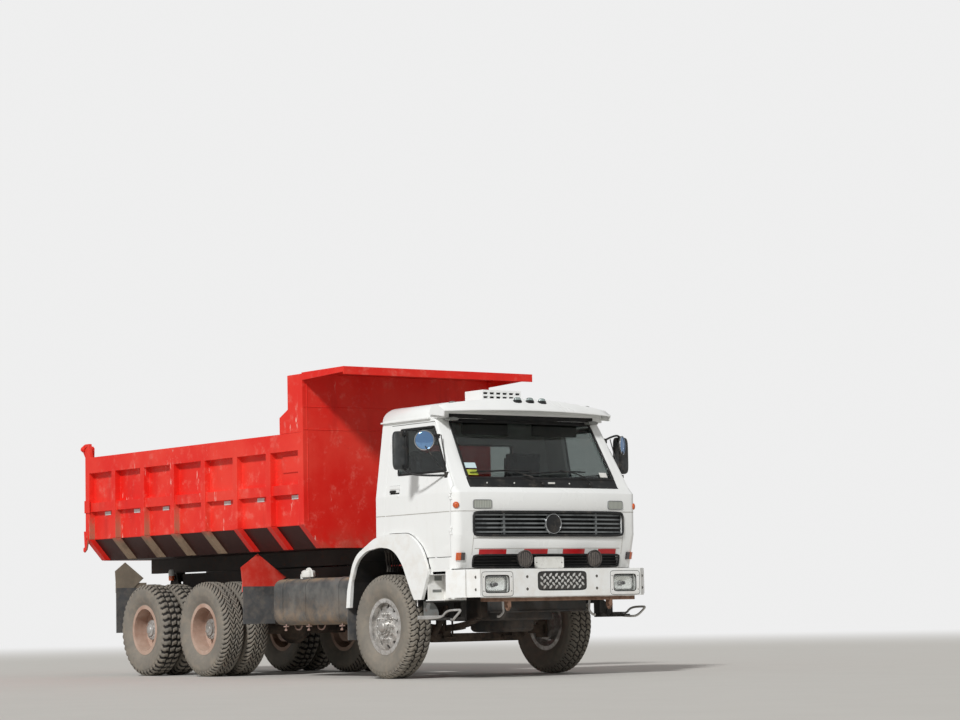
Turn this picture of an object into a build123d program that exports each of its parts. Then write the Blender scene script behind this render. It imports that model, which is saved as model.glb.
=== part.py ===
from build123d import *
import math
import os

# Millimetres. Pieces are drawn from the front axle: x forward, y to the left, z above the ground.

# Running gear
wheelbase = 3557
tandem_spacing = 1360
tyre_radius = 535
tyre_width = 280
bead_radius = 256
rim_width = 210
rim_wall = 9
flange_radius = 290
hand_holes = 10
hand_hole_radius = 24
hand_hole_circle = 205
front_wheel_y = 1041
twin_outer_y = 1107
twin_pitch = 320
hub_radius = 150
spindle_radius = 45
spindle_gap = 0.5
kingpin_y = 860
kingpin_radius = 24
kingpin_eye = 42
beam_drop = 60
beam_half = 45
axle_ball = 185

# Chassis
rail_top = 1060
rail_depth = 270
rail_half = 430
rail_flange = 75
rail_web = 10
rail_front = 1180
rear_overhang = 703
rail_rear = -wheelbase - tandem_spacing - rear_overhang
subframe_depth = 138
subframe_front = -1250
spring_y = 400
spring_width = 80
engine_rear = -40

# Dump body
pivot_x = rail_rear + 120
pivot_z = 1150
pivot_radius = 40
pivot_lug = 50
bed_rear = pivot_x - 792
bed_front = -1368
bed_half = 1250
bed_floor_z = 1385
slope_top_z = 1638
slope_foot_y = 955
side_top_z = 2633
top_rail_height = 193
mid_rail_z = (1972, 2080)
frame_depth = 75
bed_plate = 12
bed_bays = 7
rib_width = 95
canopy_top = 3274
canopy_plate = 12
canopy_lip = 85
canopy_front = -542
headboard_top = canopy_top - canopy_plate
headboard_return = 285
bearer_depth = 170
bearer_y = 387
bearer_width = 80
tailgate_thick = 78
tailgate_gap = 8
tailgate_pin_z = 2742
tailgate_pin_radius = 22
tailgate_pin_back = 45

# Hoist cylinder
hoist_foot = (pivot_x + 1600, 880)
hoist_eye = (pivot_x + 3100, 1235)
hoist_tube_radius = 45
hoist_barrel_radius = 95
hoist_rod_radius = 62
hoist_eye_half = 54

# Cab
cab_back = -107
cab_wall = 45
door_wall = 55
door_gap = 7
door_hinge = (1222, 1163)
hinge_radius = 10
hinge_pin = 5
hinge_levels = (1480, 1830)
hinge_half = 40
barrel_half = 13
glass_thick = 6
glass_inset = 14
floor_z = 1490
foot_floor_z = 1150
floor_thick = 40
roof_top = 2840
fender_half = 1195
fender_inner = 745
fender_wall = 12
fender_face = 35
bumper_face = 1520
bumper_z = (811, 1089)
bumper_half = 1200
grille_bars = 5
grille_pitch = 43
mirror_y = 1427
bumper_plate = 110
lamp_pocket = ((664, 969), (849, 1030))
tow_eye_y = 650
tow_lug = 30
tow_eye_radius = 20
coupling_spacing = (140, 80)
coupling_hole = 10.5
seat_y = 620

# Entry treads: underside, x and y
step_thick = 28
step_rows = [
    (1050, (880, 1150), (900, 1150)),
    (770, (800, 1130), (930, 1185)),
    (590, (840, 1140), (950, 1185)),
]

# Cab plan sections: height, nose on the centre line, sweep to the corner, half width, corner radius
cab_sections = [
    (1100, 1315, 75, 1150, 90),
    (1431, 1385, 75, 1163, 90),
    (1860, 1390, 75, 1160, 80),
    (1930, 1324, 85, 1150, 55),
    (2632, 905, 70, 1055, 35),
]
gutter_z = cab_sections[-1][0]
gutter_half = cab_sections[-1][3]
roof_front = cab_sections[-1][1] - 5

# Sun visor: crown of its sloping sheet at x 700, fall to its ends, and where the sheet meets its flat cap
visor_crown = 2990
visor_droop = 95
visor_plate = 12
visor_half = gutter_half + 25
visor_x = (800, 930, 1150)
visor_slope = 0.51 / 0.86
visor_cap = visor_crown - visor_slope * (visor_x[1] - 700)

# Overall box, from which the model's origin follows
tailgate_rear = bed_rear - tailgate_thick - tailgate_gap
middle_x = (bumper_face + tailgate_rear) / 2

rear_axle_x = (-wheelbase, -wheelbase - tandem_spacing)
guard_x = (rear_axle_x[0] + tyre_radius + 248, rail_rear + 20)


# Shapes from outlines

def across(points, y_low, y_high):
    """Prism of an x, z outline from y_low to y_high."""
    plane = Plane(origin=(0, y_high, 0), x_dir=(1, 0, 0), z_dir=(0, -1, 0))
    return extrude(plane * Polygon(*points, align=None), y_high - y_low, dir=(0, -1, 0))


def along(points, x_low, x_high):
    """Prism of a y, z outline from x_low to x_high."""
    plane = Plane(origin=(x_low, 0, 0), x_dir=(0, 1, 0), z_dir=(1, 0, 0))
    return extrude(plane * Polygon(*points, align=None), x_high - x_low, dir=(1, 0, 0))


def upright(points, z_low, z_high):
    """Prism of an x, y outline from z_low to z_high."""
    return extrude(Plane.XY.offset(z_low) * Polygon(*points, align=None), z_high - z_low, dir=(0, 0, 1))


def block(x, y, z):
    """Box from its low and high values along each axis."""
    size = [abs(pair[1] - pair[0]) for pair in (x, y, z)]
    middle = [(pair[0] + pair[1]) / 2 for pair in (x, y, z)]
    return Pos(*middle) * Box(*size)


def bar(start, end, radius):
    """Round bar between two points."""
    run = Vector(*end) - Vector(*start)
    return extrude(Plane(origin=start, z_dir=run) * Circle(radius), run.length)


def both(shape):
    """A shape and its mirror image on the other side."""
    return shape + mirror(shape, about=Plane.XZ)


def other_side(shape):
    return mirror(shape, about=Plane.XZ)


def turned(outline, centre):
    """Ring from an outline of radius and offset along y, about the wheel axis through centre."""
    plane = Plane(origin=centre, x_dir=(1, 0, 0), z_dir=(0, 0, 1))
    face = plane * Polygon(*outline, align=None)
    return revolve(face, axis=Axis(centre, (0, 1, 0)))


# Wheels

def tyre(centre):
    half = tyre_width / 2
    seat = rim_width / 2 - rim_wall - 2
    # Radius and offset from the middle plane, for one half
    rows = [
        (bead_radius, seat), (flange_radius + 8, seat), (flange_radius + 60, half),
        (tyre_radius - 85, half), (tyre_radius - 18, half * 0.82), (tyre_radius, half * 0.7),
    ]
    return turned([(radius, -y) for radius, y in rows] + rows[::-1], centre)


def rim_barrel(centre):
    half = rim_width / 2
    inside = bead_radius - rim_wall
    outline = [
        (inside, -half),
        (flange_radius, -half),
        (flange_radius, -half + rim_wall),
        (bead_radius, -half + rim_wall),
        (bead_radius, half - rim_wall),
        (flange_radius, half - rim_wall),
        (flange_radius, half),
        (inside, half),
    ]
    return turned(outline, centre)


def wheel_disc(centre, foot, face, side):
    """Dished disc from the barrel at offset foot to the hub face at offset face, with its hand holes."""
    rim = bead_radius - rim_wall + 1
    plate = 14
    disc = turned([
        (0, side * face), (hub_radius + 10, side * face), (rim, side * foot),
        (rim, side * (foot - plate)), (hub_radius, side * (face - plate)), (0, side * (face - plate)),
    ], centre)
    x, y, z = centre
    for step in range(hand_holes):
        angle = 2 * math.pi * (step + 0.5) / hand_holes
        at = (x + hand_hole_circle * math.cos(angle), z + hand_hole_circle * math.sin(angle))
        start = y + side * (min(foot, face) - 2 * plate)
        end = y + side * (max(foot, face) + plate)
        disc -= bar((at[0], start, at[1]), (at[0], end, at[1]), hand_hole_radius)
    return disc


def drum(centre, start, end, side, radius):
    return turned([(0, side * start), (radius, side * start), (radius, side * end), (0, side * end)], centre)


def spindle_bore(x, y_in, y_out, side):
    radius = spindle_radius + spindle_gap
    return bar((x, side * y_in, tyre_radius), (x, side * y_out, tyre_radius), radius)


def front_rim(side):
    """Rim with its disc, the brake drum inside and the stepped hub outside."""
    centre = (0, side * front_wheel_y, tyre_radius)
    rim = rim_barrel(centre) + wheel_disc(centre, 40, 88, side)
    rim += drum(centre, -107, 76, side, hand_hole_circle - hand_hole_radius - 6)
    rim += drum(centre, 80, 112, side, 96) + drum(centre, 110, 134, side, 72)
    return rim - spindle_bore(0, kingpin_y, front_wheel_y + 60, side)


def rear_rims(x, side):
    """Twin rims back to back on one drum, with the deep outer dish and its hub."""
    outer = (x, side * twin_outer_y, tyre_radius)
    inner = (x, side * (twin_outer_y - twin_pitch), tyre_radius)
    mate = twin_pitch / 2
    rims = rim_barrel(outer) + rim_barrel(inner)
    rims += wheel_disc(outer, -rim_width / 2 + 45, -mate + 14, side)
    rims += wheel_disc(inner, rim_width / 2 - 30, mate, side)
    rims += drum(inner, -80, mate - 5, side, hand_hole_circle - hand_hole_radius - 6)
    rims += drum(outer, -mate, -40, side, 118) + drum(outer, -42, 10, side, 92)
    return rims - spindle_bore(x, twin_outer_y - twin_pitch - 100, twin_outer_y - 60, side)


# Chassis

def chassis_rails():
    low = rail_top - rail_depth
    inner = rail_half - rail_flange
    web = rail_half - rail_web
    outline = [
        (rail_half, low), (rail_half, rail_top), (inner, rail_top), (inner, rail_top - rail_web),
        (web, rail_top - rail_web), (web, low + rail_web), (inner, low + rail_web), (inner, low),
    ]
    return both(along(outline, rail_rear, rail_front))


def cross_members():
    """Channels between the rails' webs, and the coupling plate on the last one."""
    web = rail_half - rail_web
    middle = rail_top - rail_depth / 2
    # Place and half height; the low ones leave room for the hoist
    rows = [
        (rail_front - 60, 80), (-1150, 90), (-2150, 90), (hoist_foot[0] + 900, 48),
        (-wheelbase - tandem_spacing / 2, 115), (rail_rear + 60, 110),
    ]
    members = None
    for x, half in rows:
        member = block((x - 45, x + 45), (-web, web), (middle - half, middle + half))
        member -= block((x - 35, x + 50), (-web + 90, web - 90), (middle - half + 10, middle + half - 10))
        members = member if members is None else members + member
    plate = block((rail_rear - 12, rail_rear + 20), (-200, 200), (middle - 105, middle + 105))
    for y in (-1, 1):
        for z in (-1, 1):
            at = (y * coupling_spacing[0] / 2, middle + z * coupling_spacing[1] / 2)
            plate -= bar((rail_rear - 20, *at), (rail_rear + 30, *at), coupling_hole)
    return members + plate


def hoist_subframe():
    """Box bearers on the rails, with the pivot's ears behind and the hoist's foot tube between them."""
    top = rail_top + subframe_depth
    outer = rail_half
    inner = rail_half - rail_flange
    reach = 130
    bridge = 20
    beams = block((rail_rear, subframe_front), (inner, outer), (rail_top, top))
    beams -= block((pivot_x - reach, pivot_x + reach), (inner - 1, outer + 1), (rail_top + 1, top + 1))
    ear = across([(pivot_x - 110, rail_top), (pivot_x + 110, rail_top), (pivot_x + 55, pivot_z + 60),
                  (pivot_x - 55, pivot_z + 60)], outer + 2, outer + 42)
    beams += ear + block((pivot_x - 100, pivot_x + 100), (inner, outer + 42), (rail_top, rail_top + bridge))
    beams -= bar((pivot_x, inner, pivot_z), (pivot_x, outer + 60, pivot_z), pivot_radius + spindle_gap)
    foot_x, foot_z = hoist_foot
    width = rail_half - rail_web
    tube = bar((foot_x, -width, foot_z), (foot_x, width, foot_z), hoist_tube_radius)
    return both(beams), tube


def front_axle_beam():
    """Dropped beam with an eye for each kingpin."""
    middle = tyre_radius - beam_drop
    drop = 70
    end = kingpin_y - 10
    high, low = middle + beam_half, middle - beam_half
    half = [(end, high), (end, low), (660, low), (540, low - drop)]
    crown = [(520, high - drop), (640, high)]
    outline = crown + half + [(-y, z) for y, z in half[::-1]] + [(-y, z) for y, z in crown[::-1]]
    beam = along(outline, -kingpin_eye, kingpin_eye)
    for side in (-1, 1):
        beam += Pos(0, side * kingpin_y, middle) * Cylinder(kingpin_eye, 2 * beam_half)
    for side in (-1, 1):
        beam -= Pos(0, side * kingpin_y, middle) * Cylinder(kingpin_radius + spindle_gap, 3 * beam_half)
    return beam


def knuckle(side):
    """Fork round the beam's eye with the kingpin, brake plate and wheel spindle."""
    middle = tyre_radius - beam_drop
    fork = 44
    plate = (side * (kingpin_y + kingpin_eye + 6), side * (kingpin_y + 62))
    body = Pos(0, side * kingpin_y, middle) * Cylinder(kingpin_radius, 2 * beam_half + 2 * fork + 12)
    for level in (-1, 1):
        z = middle + level * (beam_half + 2 * spindle_gap + fork / 2)
        body += Pos(0, side * kingpin_y, z) * Cylinder(kingpin_eye, fork)
        arm_z = (z - fork / 2, z + fork / 2)
        body += block((-kingpin_eye, kingpin_eye), (side * kingpin_y, plate[1]), arm_z)
    body += block((-60, 60), plate, (middle - beam_half - 46, middle + beam_half + 90))
    body += bar((0, plate[0], tyre_radius), (0, side * (front_wheel_y + 50), tyre_radius), spindle_radius)
    return body


def leaf_pack(x_middle, length, z_middle, rise, leaves, width):
    """Curved pack of stepped leaves; rise is how far the ends stand above the middle."""
    pack = None
    thick = 13
    for step in range(leaves):
        half = length / 2 * (1 - 0.13 * step)
        lift = rise * (half * 2 / length) ** 2
        base = z_middle - math.copysign(thick, rise) * step
        low = ThreePointArc((x_middle - half, base + lift), (x_middle, base), (x_middle + half, base + lift))
        high = ThreePointArc((x_middle - half, base + lift + thick), (x_middle, base + thick),
                             (x_middle + half, base + lift + thick))
        ends = [Line(low @ 0, high @ 0), Line(low @ 1, high @ 1)]
        plane = Plane(origin=(0, spring_y + width / 2, 0), x_dir=(1, 0, 0), z_dir=(0, -1, 0))
        leaf = extrude(plane * make_face([low, high] + ends), width, dir=(0, -1, 0))
        pack = leaf if pack is None else pack + leaf
    return pack


def springs():
    """Front and rear leaf packs with their hangers."""
    low = rail_top - rail_depth
    y = (spring_y - spring_width / 2, spring_y + spring_width / 2)
    pad = tyre_radius - beam_drop - 25
    length = 1400
    front = leaf_pack(0, length, pad + 75, 95, 5, spring_width)
    front += block((-75, 75), y, (pad, pad + 40))
    for x in (10 - length / 2, length / 2 - 10):
        front += block((x - 30, x + 30), y, (pad + 160, low))
    middle = -wheelbase - tandem_spacing / 2
    top = tyre_radius + 172
    rear = leaf_pack(middle, tandem_spacing + 180, top, -75, 6, spring_width)
    rear += block((middle - 120, middle + 120), y, (top - 20, low))
    for x in rear_axle_x:
        rear += block((x - 60, x + 60), y, (tyre_radius + 70, top - 55))
    return both(front), both(rear)


def rear_axles():
    """Banjo housings with spindles that carry the twin wheels."""
    axles = None
    inner = twin_outer_y - twin_pitch
    for x in rear_axle_x:
        axle = bar((x, 110 - inner, tyre_radius), (x, inner - 110, tyre_radius), 72)
        # Banjo: offset along the axle and radius
        half = [(50, axle_ball), (120, 140), (axle_ball, 60)]
        rows = [(-y, radius) for y, radius in half[::-1]] + half
        outline = [(0, -axle_ball)] + [(radius, y) for y, radius in rows] + [(0, axle_ball)]
        axle += turned(outline, (x, 0, tyre_radius))
        for side in (-1, 1):
            axle += bar((x, side * (inner - 120), tyre_radius), (x, side * (twin_outer_y - 70), tyre_radius),
                        spindle_radius)
        axle += bar((x, 0, tyre_radius + 40), (x + 300, 0, tyre_radius + 60), 60)
        axles = axle if axles is None else axles + axle
    return axles


def driveshaft():
    front, back = rear_axle_x
    shaft = bar((-1024, 0, 760), (front + 300, 0, tyre_radius + 60), 45)
    shaft += bar((front - 170, 0, tyre_radius + 40), (back + 300, 0, tyre_radius + 60), 40)
    return shaft


def engine():
    """Engine block with the gearbox behind it."""
    # x, half width and z of each block, from the front
    rows = [((engine_rear, 960), 310, (575, 1430)), ((-620, engine_rear), 230, (600, 1080)),
            ((-1010, -620), 150, (660, 960))]
    body = None
    for x, half, z in rows:
        piece = block(x, (-half, half), z)
        body = piece if body is None else body + piece
    return body


def radiator():
    return block((985, 1055), (-330, 330), (800, 1430))


def fuel_tank():
    """Rounded tank on the right with three straps, brackets and a filler neck."""
    x = (-2215, -690)
    y, z = -815, 815
    wide, high, corner, strap = 630, 500, 110, 5

    def slice_at(place, grow):
        plane = Plane(origin=(place, y, z), x_dir=(0, 1, 0), z_dir=(1, 0, 0))
        return plane * RectangleRounded(wide + 2 * grow, high + 2 * grow, corner + grow)

    tank = extrude(slice_at(x[0], 0), x[1] - x[0])
    tank = fillet(tank.faces().sort_by(Axis.X)[0].edges() + tank.faces().sort_by(Axis.X)[-1].edges(), 55)
    for place in (-2010, -1550, -900):
        tank += extrude(slice_at(place - 22, strap) - slice_at(place - 22, 0), 44)
    bracket_y, bracket_z = (-rail_half, y + wide / 2 - 10), (rail_top - 230, rail_top - 120)
    for place in (-1780, -1100):
        tank += block((place - 40, place + 40), bracket_y, bracket_z)
    return tank + Pos(-1650, -1010, z + high / 2 + 15) * Cylinder(62, 90)


def left_boxes():
    """Battery box and two air tanks on the left."""
    box = block((-1820, -1250), (520, 1080), (600, 1000))
    box = fillet(box.edges().filter_by(Axis.X), 30)
    box += block((-1750, -1320), (rail_half, 525), (840, 960))
    tanks = None
    rear, front = guard_x[0] + 74, -1900
    middle = (rear + front) / 2
    for z in (690, 930):
        air = bar((rear, 640, z), (front, 640, z), 110)
        air += block((middle - 40, middle + 40), (rail_half, 560), (z - 40, z + 40))
        tanks = air if tanks is None else tanks + air
    return box, tanks


def exhaust():
    """Pipe from the engine's left, back past the gearbox and out under the rail to the silencer."""
    pipe_y, pipe_z, can_y, bend_x = 300, 735, 610, -900
    can = bar((-1225, can_y, 760), (-665, can_y, 760), 120)
    can += bar((bend_x, can_y - 60, pipe_z), (bend_x, pipe_y, pipe_z), 42)
    can += bar((bend_x, pipe_y, pipe_z), (engine_rear, pipe_y, pipe_z), 42)
    can += Pos(bend_x, pipe_y, pipe_z) * Cylinder(42, 84)
    return can + block((-770, -700), (rail_half, can_y), (850, 890))


# Dump body

def bed_floor():
    """Floor plate and the two panels that slope up to the sides."""
    t = bed_plate
    inner_y = bed_half - frame_depth
    outline = [
        (-inner_y, slope_top_z), (-slope_foot_y, bed_floor_z), (slope_foot_y, bed_floor_z),
        (inner_y, slope_top_z), (inner_y - t, slope_top_z), (slope_foot_y - t, bed_floor_z + t),
        (-slope_foot_y + t, bed_floor_z + t), (-inner_y + t, slope_top_z),
    ]
    return along(outline, bed_rear, bed_front)


def bay_length():
    return (bed_front - bed_rear) / bed_bays


def rib_places():
    return [bed_front - bay_length() * step for step in range(1, bed_bays)]


def bed_side():
    """Upright side plate with its rails, ribs and end posts, on the left."""
    inner_y = bed_half - frame_depth
    side = block((bed_rear, bed_front), (inner_y - bed_plate, inner_y), (slope_top_z, side_top_z))
    frame = (inner_y, bed_half)
    side += block((bed_rear, bed_front), frame, (side_top_z - top_rail_height, side_top_z))
    side += block((bed_rear, bed_front), (inner_y, bed_half - 20), mid_rail_z)
    half = rib_width / 2
    for x in rib_places():
        side += block((x - half, x + half), frame, (slope_top_z, side_top_z - 10))
    side += block((bed_rear, bed_rear + rib_width), frame, (slope_top_z, side_top_z))
    side += block((bed_front - rib_width, bed_front), frame, (slope_top_z, side_top_z))
    return side


def tailgate_post():
    """Ear above the rear post that carries the tailgate's hinge pin, on the left."""
    x, pin_z = bed_rear, tailgate_pin_z
    ear = across([(x, side_top_z), (x + 130, side_top_z), (x + 95, pin_z + 60), (x - 5, pin_z + 60),
                  (x - 60, pin_z + 45), (x - 80, pin_z), (x - 40, pin_z - 60)], bed_half - 40, bed_half)
    pin_x = x - tailgate_pin_back
    return ear - bar((pin_x, bed_half - 60, pin_z), (pin_x, bed_half + 20, pin_z), tailgate_pin_radius + spindle_gap)


def lower_ribs():
    """Rib feet that follow the sloping panels down to the floor."""
    inner_y = bed_half - frame_depth
    foot = slope_foot_y + frame_depth
    outline = [
        (inner_y, slope_top_z), (bed_half, slope_top_z), (foot, bed_floor_z), (slope_foot_y, bed_floor_z),
    ]
    half = rib_width / 2
    places = [(x - half, x + half) for x in rib_places()]
    places += [(bed_rear, bed_rear + rib_width), (bed_front - rib_width, bed_front)]
    ribs = None
    for low, high in places:
        rib = both(along(outline, low, high))
        ribs = rib if ribs is None else ribs + rib
    return ribs


def bed_bearers():
    """Long bearers under the floor with the pivot's bosses and the hoist's cheeks."""
    low = bed_floor_z - bearer_depth
    y = (bearer_y - bearer_width / 2, bearer_y + bearer_width / 2)
    beam = block((bed_rear + 150, bed_front - 40), y, (low, bed_floor_z))
    inner = rail_half - rail_flange
    foot = pivot_z - 45
    beam += across([(pivot_x - 75, bed_floor_z), (pivot_x + 75, bed_floor_z), (pivot_x + pivot_lug, foot),
                    (pivot_x - pivot_lug, foot)], inner, rail_half - 3)
    beam += bar((pivot_x, inner, pivot_z), (pivot_x, rail_half + 60, pivot_z), pivot_radius)
    eye_x, eye_z = hoist_eye
    cheek = across([(eye_x - 90, bed_floor_z), (eye_x + 90, bed_floor_z), (eye_x + 45, eye_z - 60),
                    (eye_x - 45, eye_z - 60)], hoist_eye_half + 18, hoist_eye_half + 43)
    return both(beam), both(cheek)


def headboard():
    """Front wall up to the canopy, with returns at both ends."""
    foot = slope_foot_y + frame_depth
    outline = [(-foot, bed_floor_z), (-bed_half, slope_top_z), (-bed_half, headboard_top),
               (bed_half, headboard_top), (bed_half, slope_top_z), (foot, bed_floor_z)]
    wall = along(outline, bed_front, bed_front + bed_plate)
    back = bed_front - headboard_return
    step = back - 170
    outline = [
        (bed_front, side_top_z), (step, side_top_z), (step, side_top_z + 180), (back, side_top_z + 260),
        (back, headboard_top), (bed_front, headboard_top),
    ]
    wing = across(outline, bed_half - bed_plate, bed_half)
    return wall + both(wing)


def canopy():
    """Shield over the cab: plate on the headboard's top with turned-down sides and front lip."""
    back, front = bed_front, canopy_front
    plate = block((back, front), (-bed_half, bed_half), (headboard_top, canopy_top))
    step = back + bed_plate
    low = canopy_top - canopy_lip
    side = across([(step, canopy_top), (step, low), (front, low + 25), (front, canopy_top)],
                  bed_half - canopy_plate, bed_half)
    lip = block((front - canopy_plate, front), (-bed_half, bed_half), (low, canopy_top))
    return plate + both(side) + lip


def tailgate():
    """Ribbed gate hung from two arms on the posts' pins."""
    front = bed_rear - tailgate_gap
    plate_x = (front - bed_plate, front)
    foot_y = slope_foot_y
    inner_y = bed_half - frame_depth
    half = [(inner_y, side_top_z), (inner_y, slope_top_z), (foot_y, bed_floor_z)]
    outline = [(-y, z) for y, z in half[::-1]] + half
    gate = along(outline, plate_x[0], plate_x[1])
    rear = front - tailgate_thick
    for z in ((side_top_z - 110, side_top_z), (1965, 2075), (bed_floor_z, bed_floor_z + 110)):
        half = foot_y if z[0] == bed_floor_z else inner_y
        gate += block((rear, front), (-half, half), z)
    for y in (-inner_y + 45, -400, 400, inner_y - 45):
        low = slope_top_z if abs(y) > foot_y else bed_floor_z
        gate += block((rear, front), (y - 45, y + 45), (low, side_top_z))
    arm_foot, arm_top = side_top_z - 60, tailgate_pin_z + 15
    arm_y = (inner_y - 62, inner_y - 22)
    arm = across([(front - 15, arm_foot), (front - 70, arm_foot), (front - 75, arm_top), (front - 37, arm_top + 25),
                  (front - 5, arm_top)], *arm_y)
    pin_x = bed_rear - tailgate_pin_back
    pin = bar((pin_x, arm_y[0], tailgate_pin_z), (pin_x, bed_half, tailgate_pin_z), tailgate_pin_radius)
    return gate + both(arm) + both(pin)


def hoist():
    """Barrel on its foot tube, and the rod with its eye."""
    foot = Vector(hoist_foot[0], 0, hoist_foot[1])
    eye = Vector(hoist_eye[0], 0, hoist_eye[1])
    run = (eye - foot).normalized()
    mouth = eye - run * 150
    barrel = bar(tuple(foot + run * 70), tuple(mouth), hoist_barrel_radius)
    barrel += bar((foot.X, -85, foot.Z), (foot.X, 85, foot.Z), hoist_tube_radius + 30)
    barrel -= bar(tuple(foot + run * 160), tuple(mouth + run * 10), hoist_rod_radius + spindle_gap)
    barrel -= bar((foot.X, -90, foot.Z), (foot.X, 90, foot.Z), hoist_tube_radius + spindle_gap)
    rod = bar(tuple(foot + run * 180), tuple(eye - run * 45), hoist_rod_radius)
    rod += bar((eye.X, -hoist_eye_half, eye.Z), (eye.X, hoist_eye_half, eye.Z), hoist_rod_radius - 4)
    return barrel, rod


# Cab

def cab_outline(section, inset, reach):
    """Plan outline of the cab at one height: sides, rounded corners and the swept nose."""
    z, nose, sweep, half, corner = section
    side = half - inset
    front = nose - sweep - inset + reach
    edge = side - corner
    start = front - corner
    back = cab_back + inset
    lines = [
        Line((start, -side), (back, -side)),
        Line((back, -side), (back, side)),
        Line((back, side), (start, side)),
        TangentArc((start, side), (front, edge), tangent=(1, 0)),
        ThreePointArc((front, edge), (nose - inset + reach, 0), (front, -edge)),
        TangentArc((start, -side), (front, -edge), tangent=(1, 0)),
    ]
    return Plane.XY.offset(z) * make_face(lines)


def cab_form(inset, low=0, high=0, reach=0):
    """Closed body of the cab, inset all round; low and high move its ends, reach moves its nose forward."""
    sections = [list(row) for row in cab_sections]
    sections[0][0] += low
    sections[-1][0] += high
    return loft([cab_outline(row, inset, reach) for row in sections], ruled=True)


windshield_outline = [(-945, 1962), (945, 1962), (905, 2606), (-905, 2606)]
rear_window_outline = [(-620, 2080), (620, 2080), (600, 2440), (-600, 2440)]
door_outline = [(65, 1400), (700, 1215), (1205, 1215), (1235, 1930), (835, 2602), (65, 2602)]
window_outline = [(262, 2076), (1125, 2076), (838, 2552), (240, 2552)]
upper_grille_outline = [(-950, 1431), (950, 1431), (955, 1660), (-955, 1660)]
lower_grille_outline = [(-938, 1112), (938, 1112), (928, 1232), (-928, 1232)]


def grown_face(face, gap):
    """Face offset outward by gap, or inward where gap is negative."""
    return offset(face, gap, kind=Kind.INTERSECTION)


def grown(points, gap):
    return grown_face(Polygon(*points, align=None), gap)


def rounded(points, corners):
    """Outline with some of its corners rounded, each given by its place in the list and a radius."""
    face = Polygon(*points, align=None)
    for place, radius in corners:
        face = fillet(face.vertices().sort_by_distance(Vector(*points[place]))[0], radius)
    return face


def across_face(face, y_low, y_high):
    plane = Plane(origin=(0, y_high, 0), x_dir=(1, 0, 0), z_dir=(0, -1, 0))
    return extrude(plane * face, y_high - y_low, dir=(0, -1, 0))


def cab_shell(outer, inner, side_form):
    """Walls of the cab with the door, window and grille openings cut: rear part and front part."""
    low, high = cab_sections[0][0], gutter_z
    shell = outer - inner
    for side in (-1, 1):
        shell -= across(door_outline, *sorted((side * 700, side * 1300))) - side_form
    shell -= both(fender_room())
    shell -= along(windshield_outline, 600, 1500)
    shell -= along(rear_window_outline, cab_back - 50, cab_back + 100)
    shell -= along(upper_grille_outline, 1000, 1500)
    shell -= along(lower_grille_outline, 1000, 1500)
    shell -= block((cab_back - 5, 820), (-1300, 1300), (low - 100, 1340))
    split = door_outline[0][0]
    rear = shell & block((cab_back - 5, split), (-1300, 1300), (low, high))
    front = shell & block((split, 1500), (-1300, 1300), (low, high))
    front -= both(hinge_room([(-barrel_half - 2.5, barrel_half + 2.5)]))
    return rear, front + both(hinge_pins())


def hinge_pins():
    """The cab's half of the door hinges: a pin and the two knuckles that hold it, on the left."""
    x, y = door_hinge
    pins = None
    for z in hinge_levels:
        pin = bar((x, y, z - hinge_half), (x, y, z + hinge_half), hinge_pin)
        for low in (z - hinge_half, z + barrel_half + 5):
            high = low + hinge_half - barrel_half - 5
            pin += bar((x, y, low), (x, y, high), hinge_radius)
            pin += block((x, x + 28), (y - 16, y + 4), (low, high))
        pins = pin if pins is None else pins + pin
    return pins


def hinge_room(spans):
    """Space round the hinge axis on the left, over spans of height measured from each hinge's middle."""
    x, y = door_hinge
    reach = hinge_radius + 4
    room = None
    for z in hinge_levels:
        for low, high in spans:
            cut = block((x - reach, x + reach), (y - reach - 8, y + 30), (z + low, z + high))
            room = cut if room is None else room + cut
    return room


def hinge_barrels():
    """The door's half of its hinges, on the left."""
    x, y = door_hinge
    barrels = None
    for z in hinge_levels:
        span = (z - barrel_half, z + barrel_half)
        barrel = bar((x, y, span[0]), (x, y, span[1]), hinge_radius)
        barrel += block((x - 40, x), (y - 12, y + 3), span)
        barrel -= bar((x, y, z - 20), (x, y, z + 20), hinge_pin + spindle_gap)
        barrels = barrel if barrels is None else barrels + barrel
    return barrels


def door(side, outer, side_form):
    """Door panel, as thick as the side wall, with its window opening, handle recess and hinge barrels."""
    span = sorted((side * 700, side * 1300))
    panel = (outer - side_form) & across_face(grown(door_outline, -door_gap), *span)
    panel -= across(window_outline, *span)
    panel -= fender_room() if side > 0 else other_side(fender_room())
    edge = (barrel_half + 2, hinge_half + 3)
    room = hinge_room([edge, (-edge[1], -edge[0])])
    for z in hinge_levels:
        room += bar((*door_hinge, z - hinge_half), (*door_hinge, z + hinge_half), hinge_pin + spindle_gap)
    room += block((140, 320), (1135, 1200), (1885, 1975))
    fitting = hinge_barrels() + block((145, 315), (1130, 1152), (1925, 1945))
    if side < 0:
        room, fitting = other_side(room), other_side(fitting)
    return panel - room + fitting


def door_glass(side, outer, inner):
    y = sorted((side * 700, side * 1300))
    return (outer - inner) & across(window_outline, y[0], y[1])


def cab_floor():
    """Floor with the engine tunnel between the seats."""
    inset = cab_wall
    half = cab_sections[0][3] - inset - 6
    x = (cab_back + inset, 1150)
    riser = 870
    floor = block((x[0], riser), (-half, half), (floor_z, floor_z + floor_thick))
    foot = (-half + 40, half - 40)
    floor += block((riser - floor_thick, x[1]), foot, (foot_floor_z, foot_floor_z + floor_thick))
    floor += block((riser - floor_thick, riser), foot, (foot_floor_z, floor_z + floor_thick))
    hollow = block((x[0] - 1, 1080), (-370, 370), (1000, floor_z))
    floor -= hollow
    tunnel = block((riser - floor_thick, 1100), (-390, 390), (foot_floor_z, floor_z + floor_thick)) - hollow
    return floor + tunnel


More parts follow.
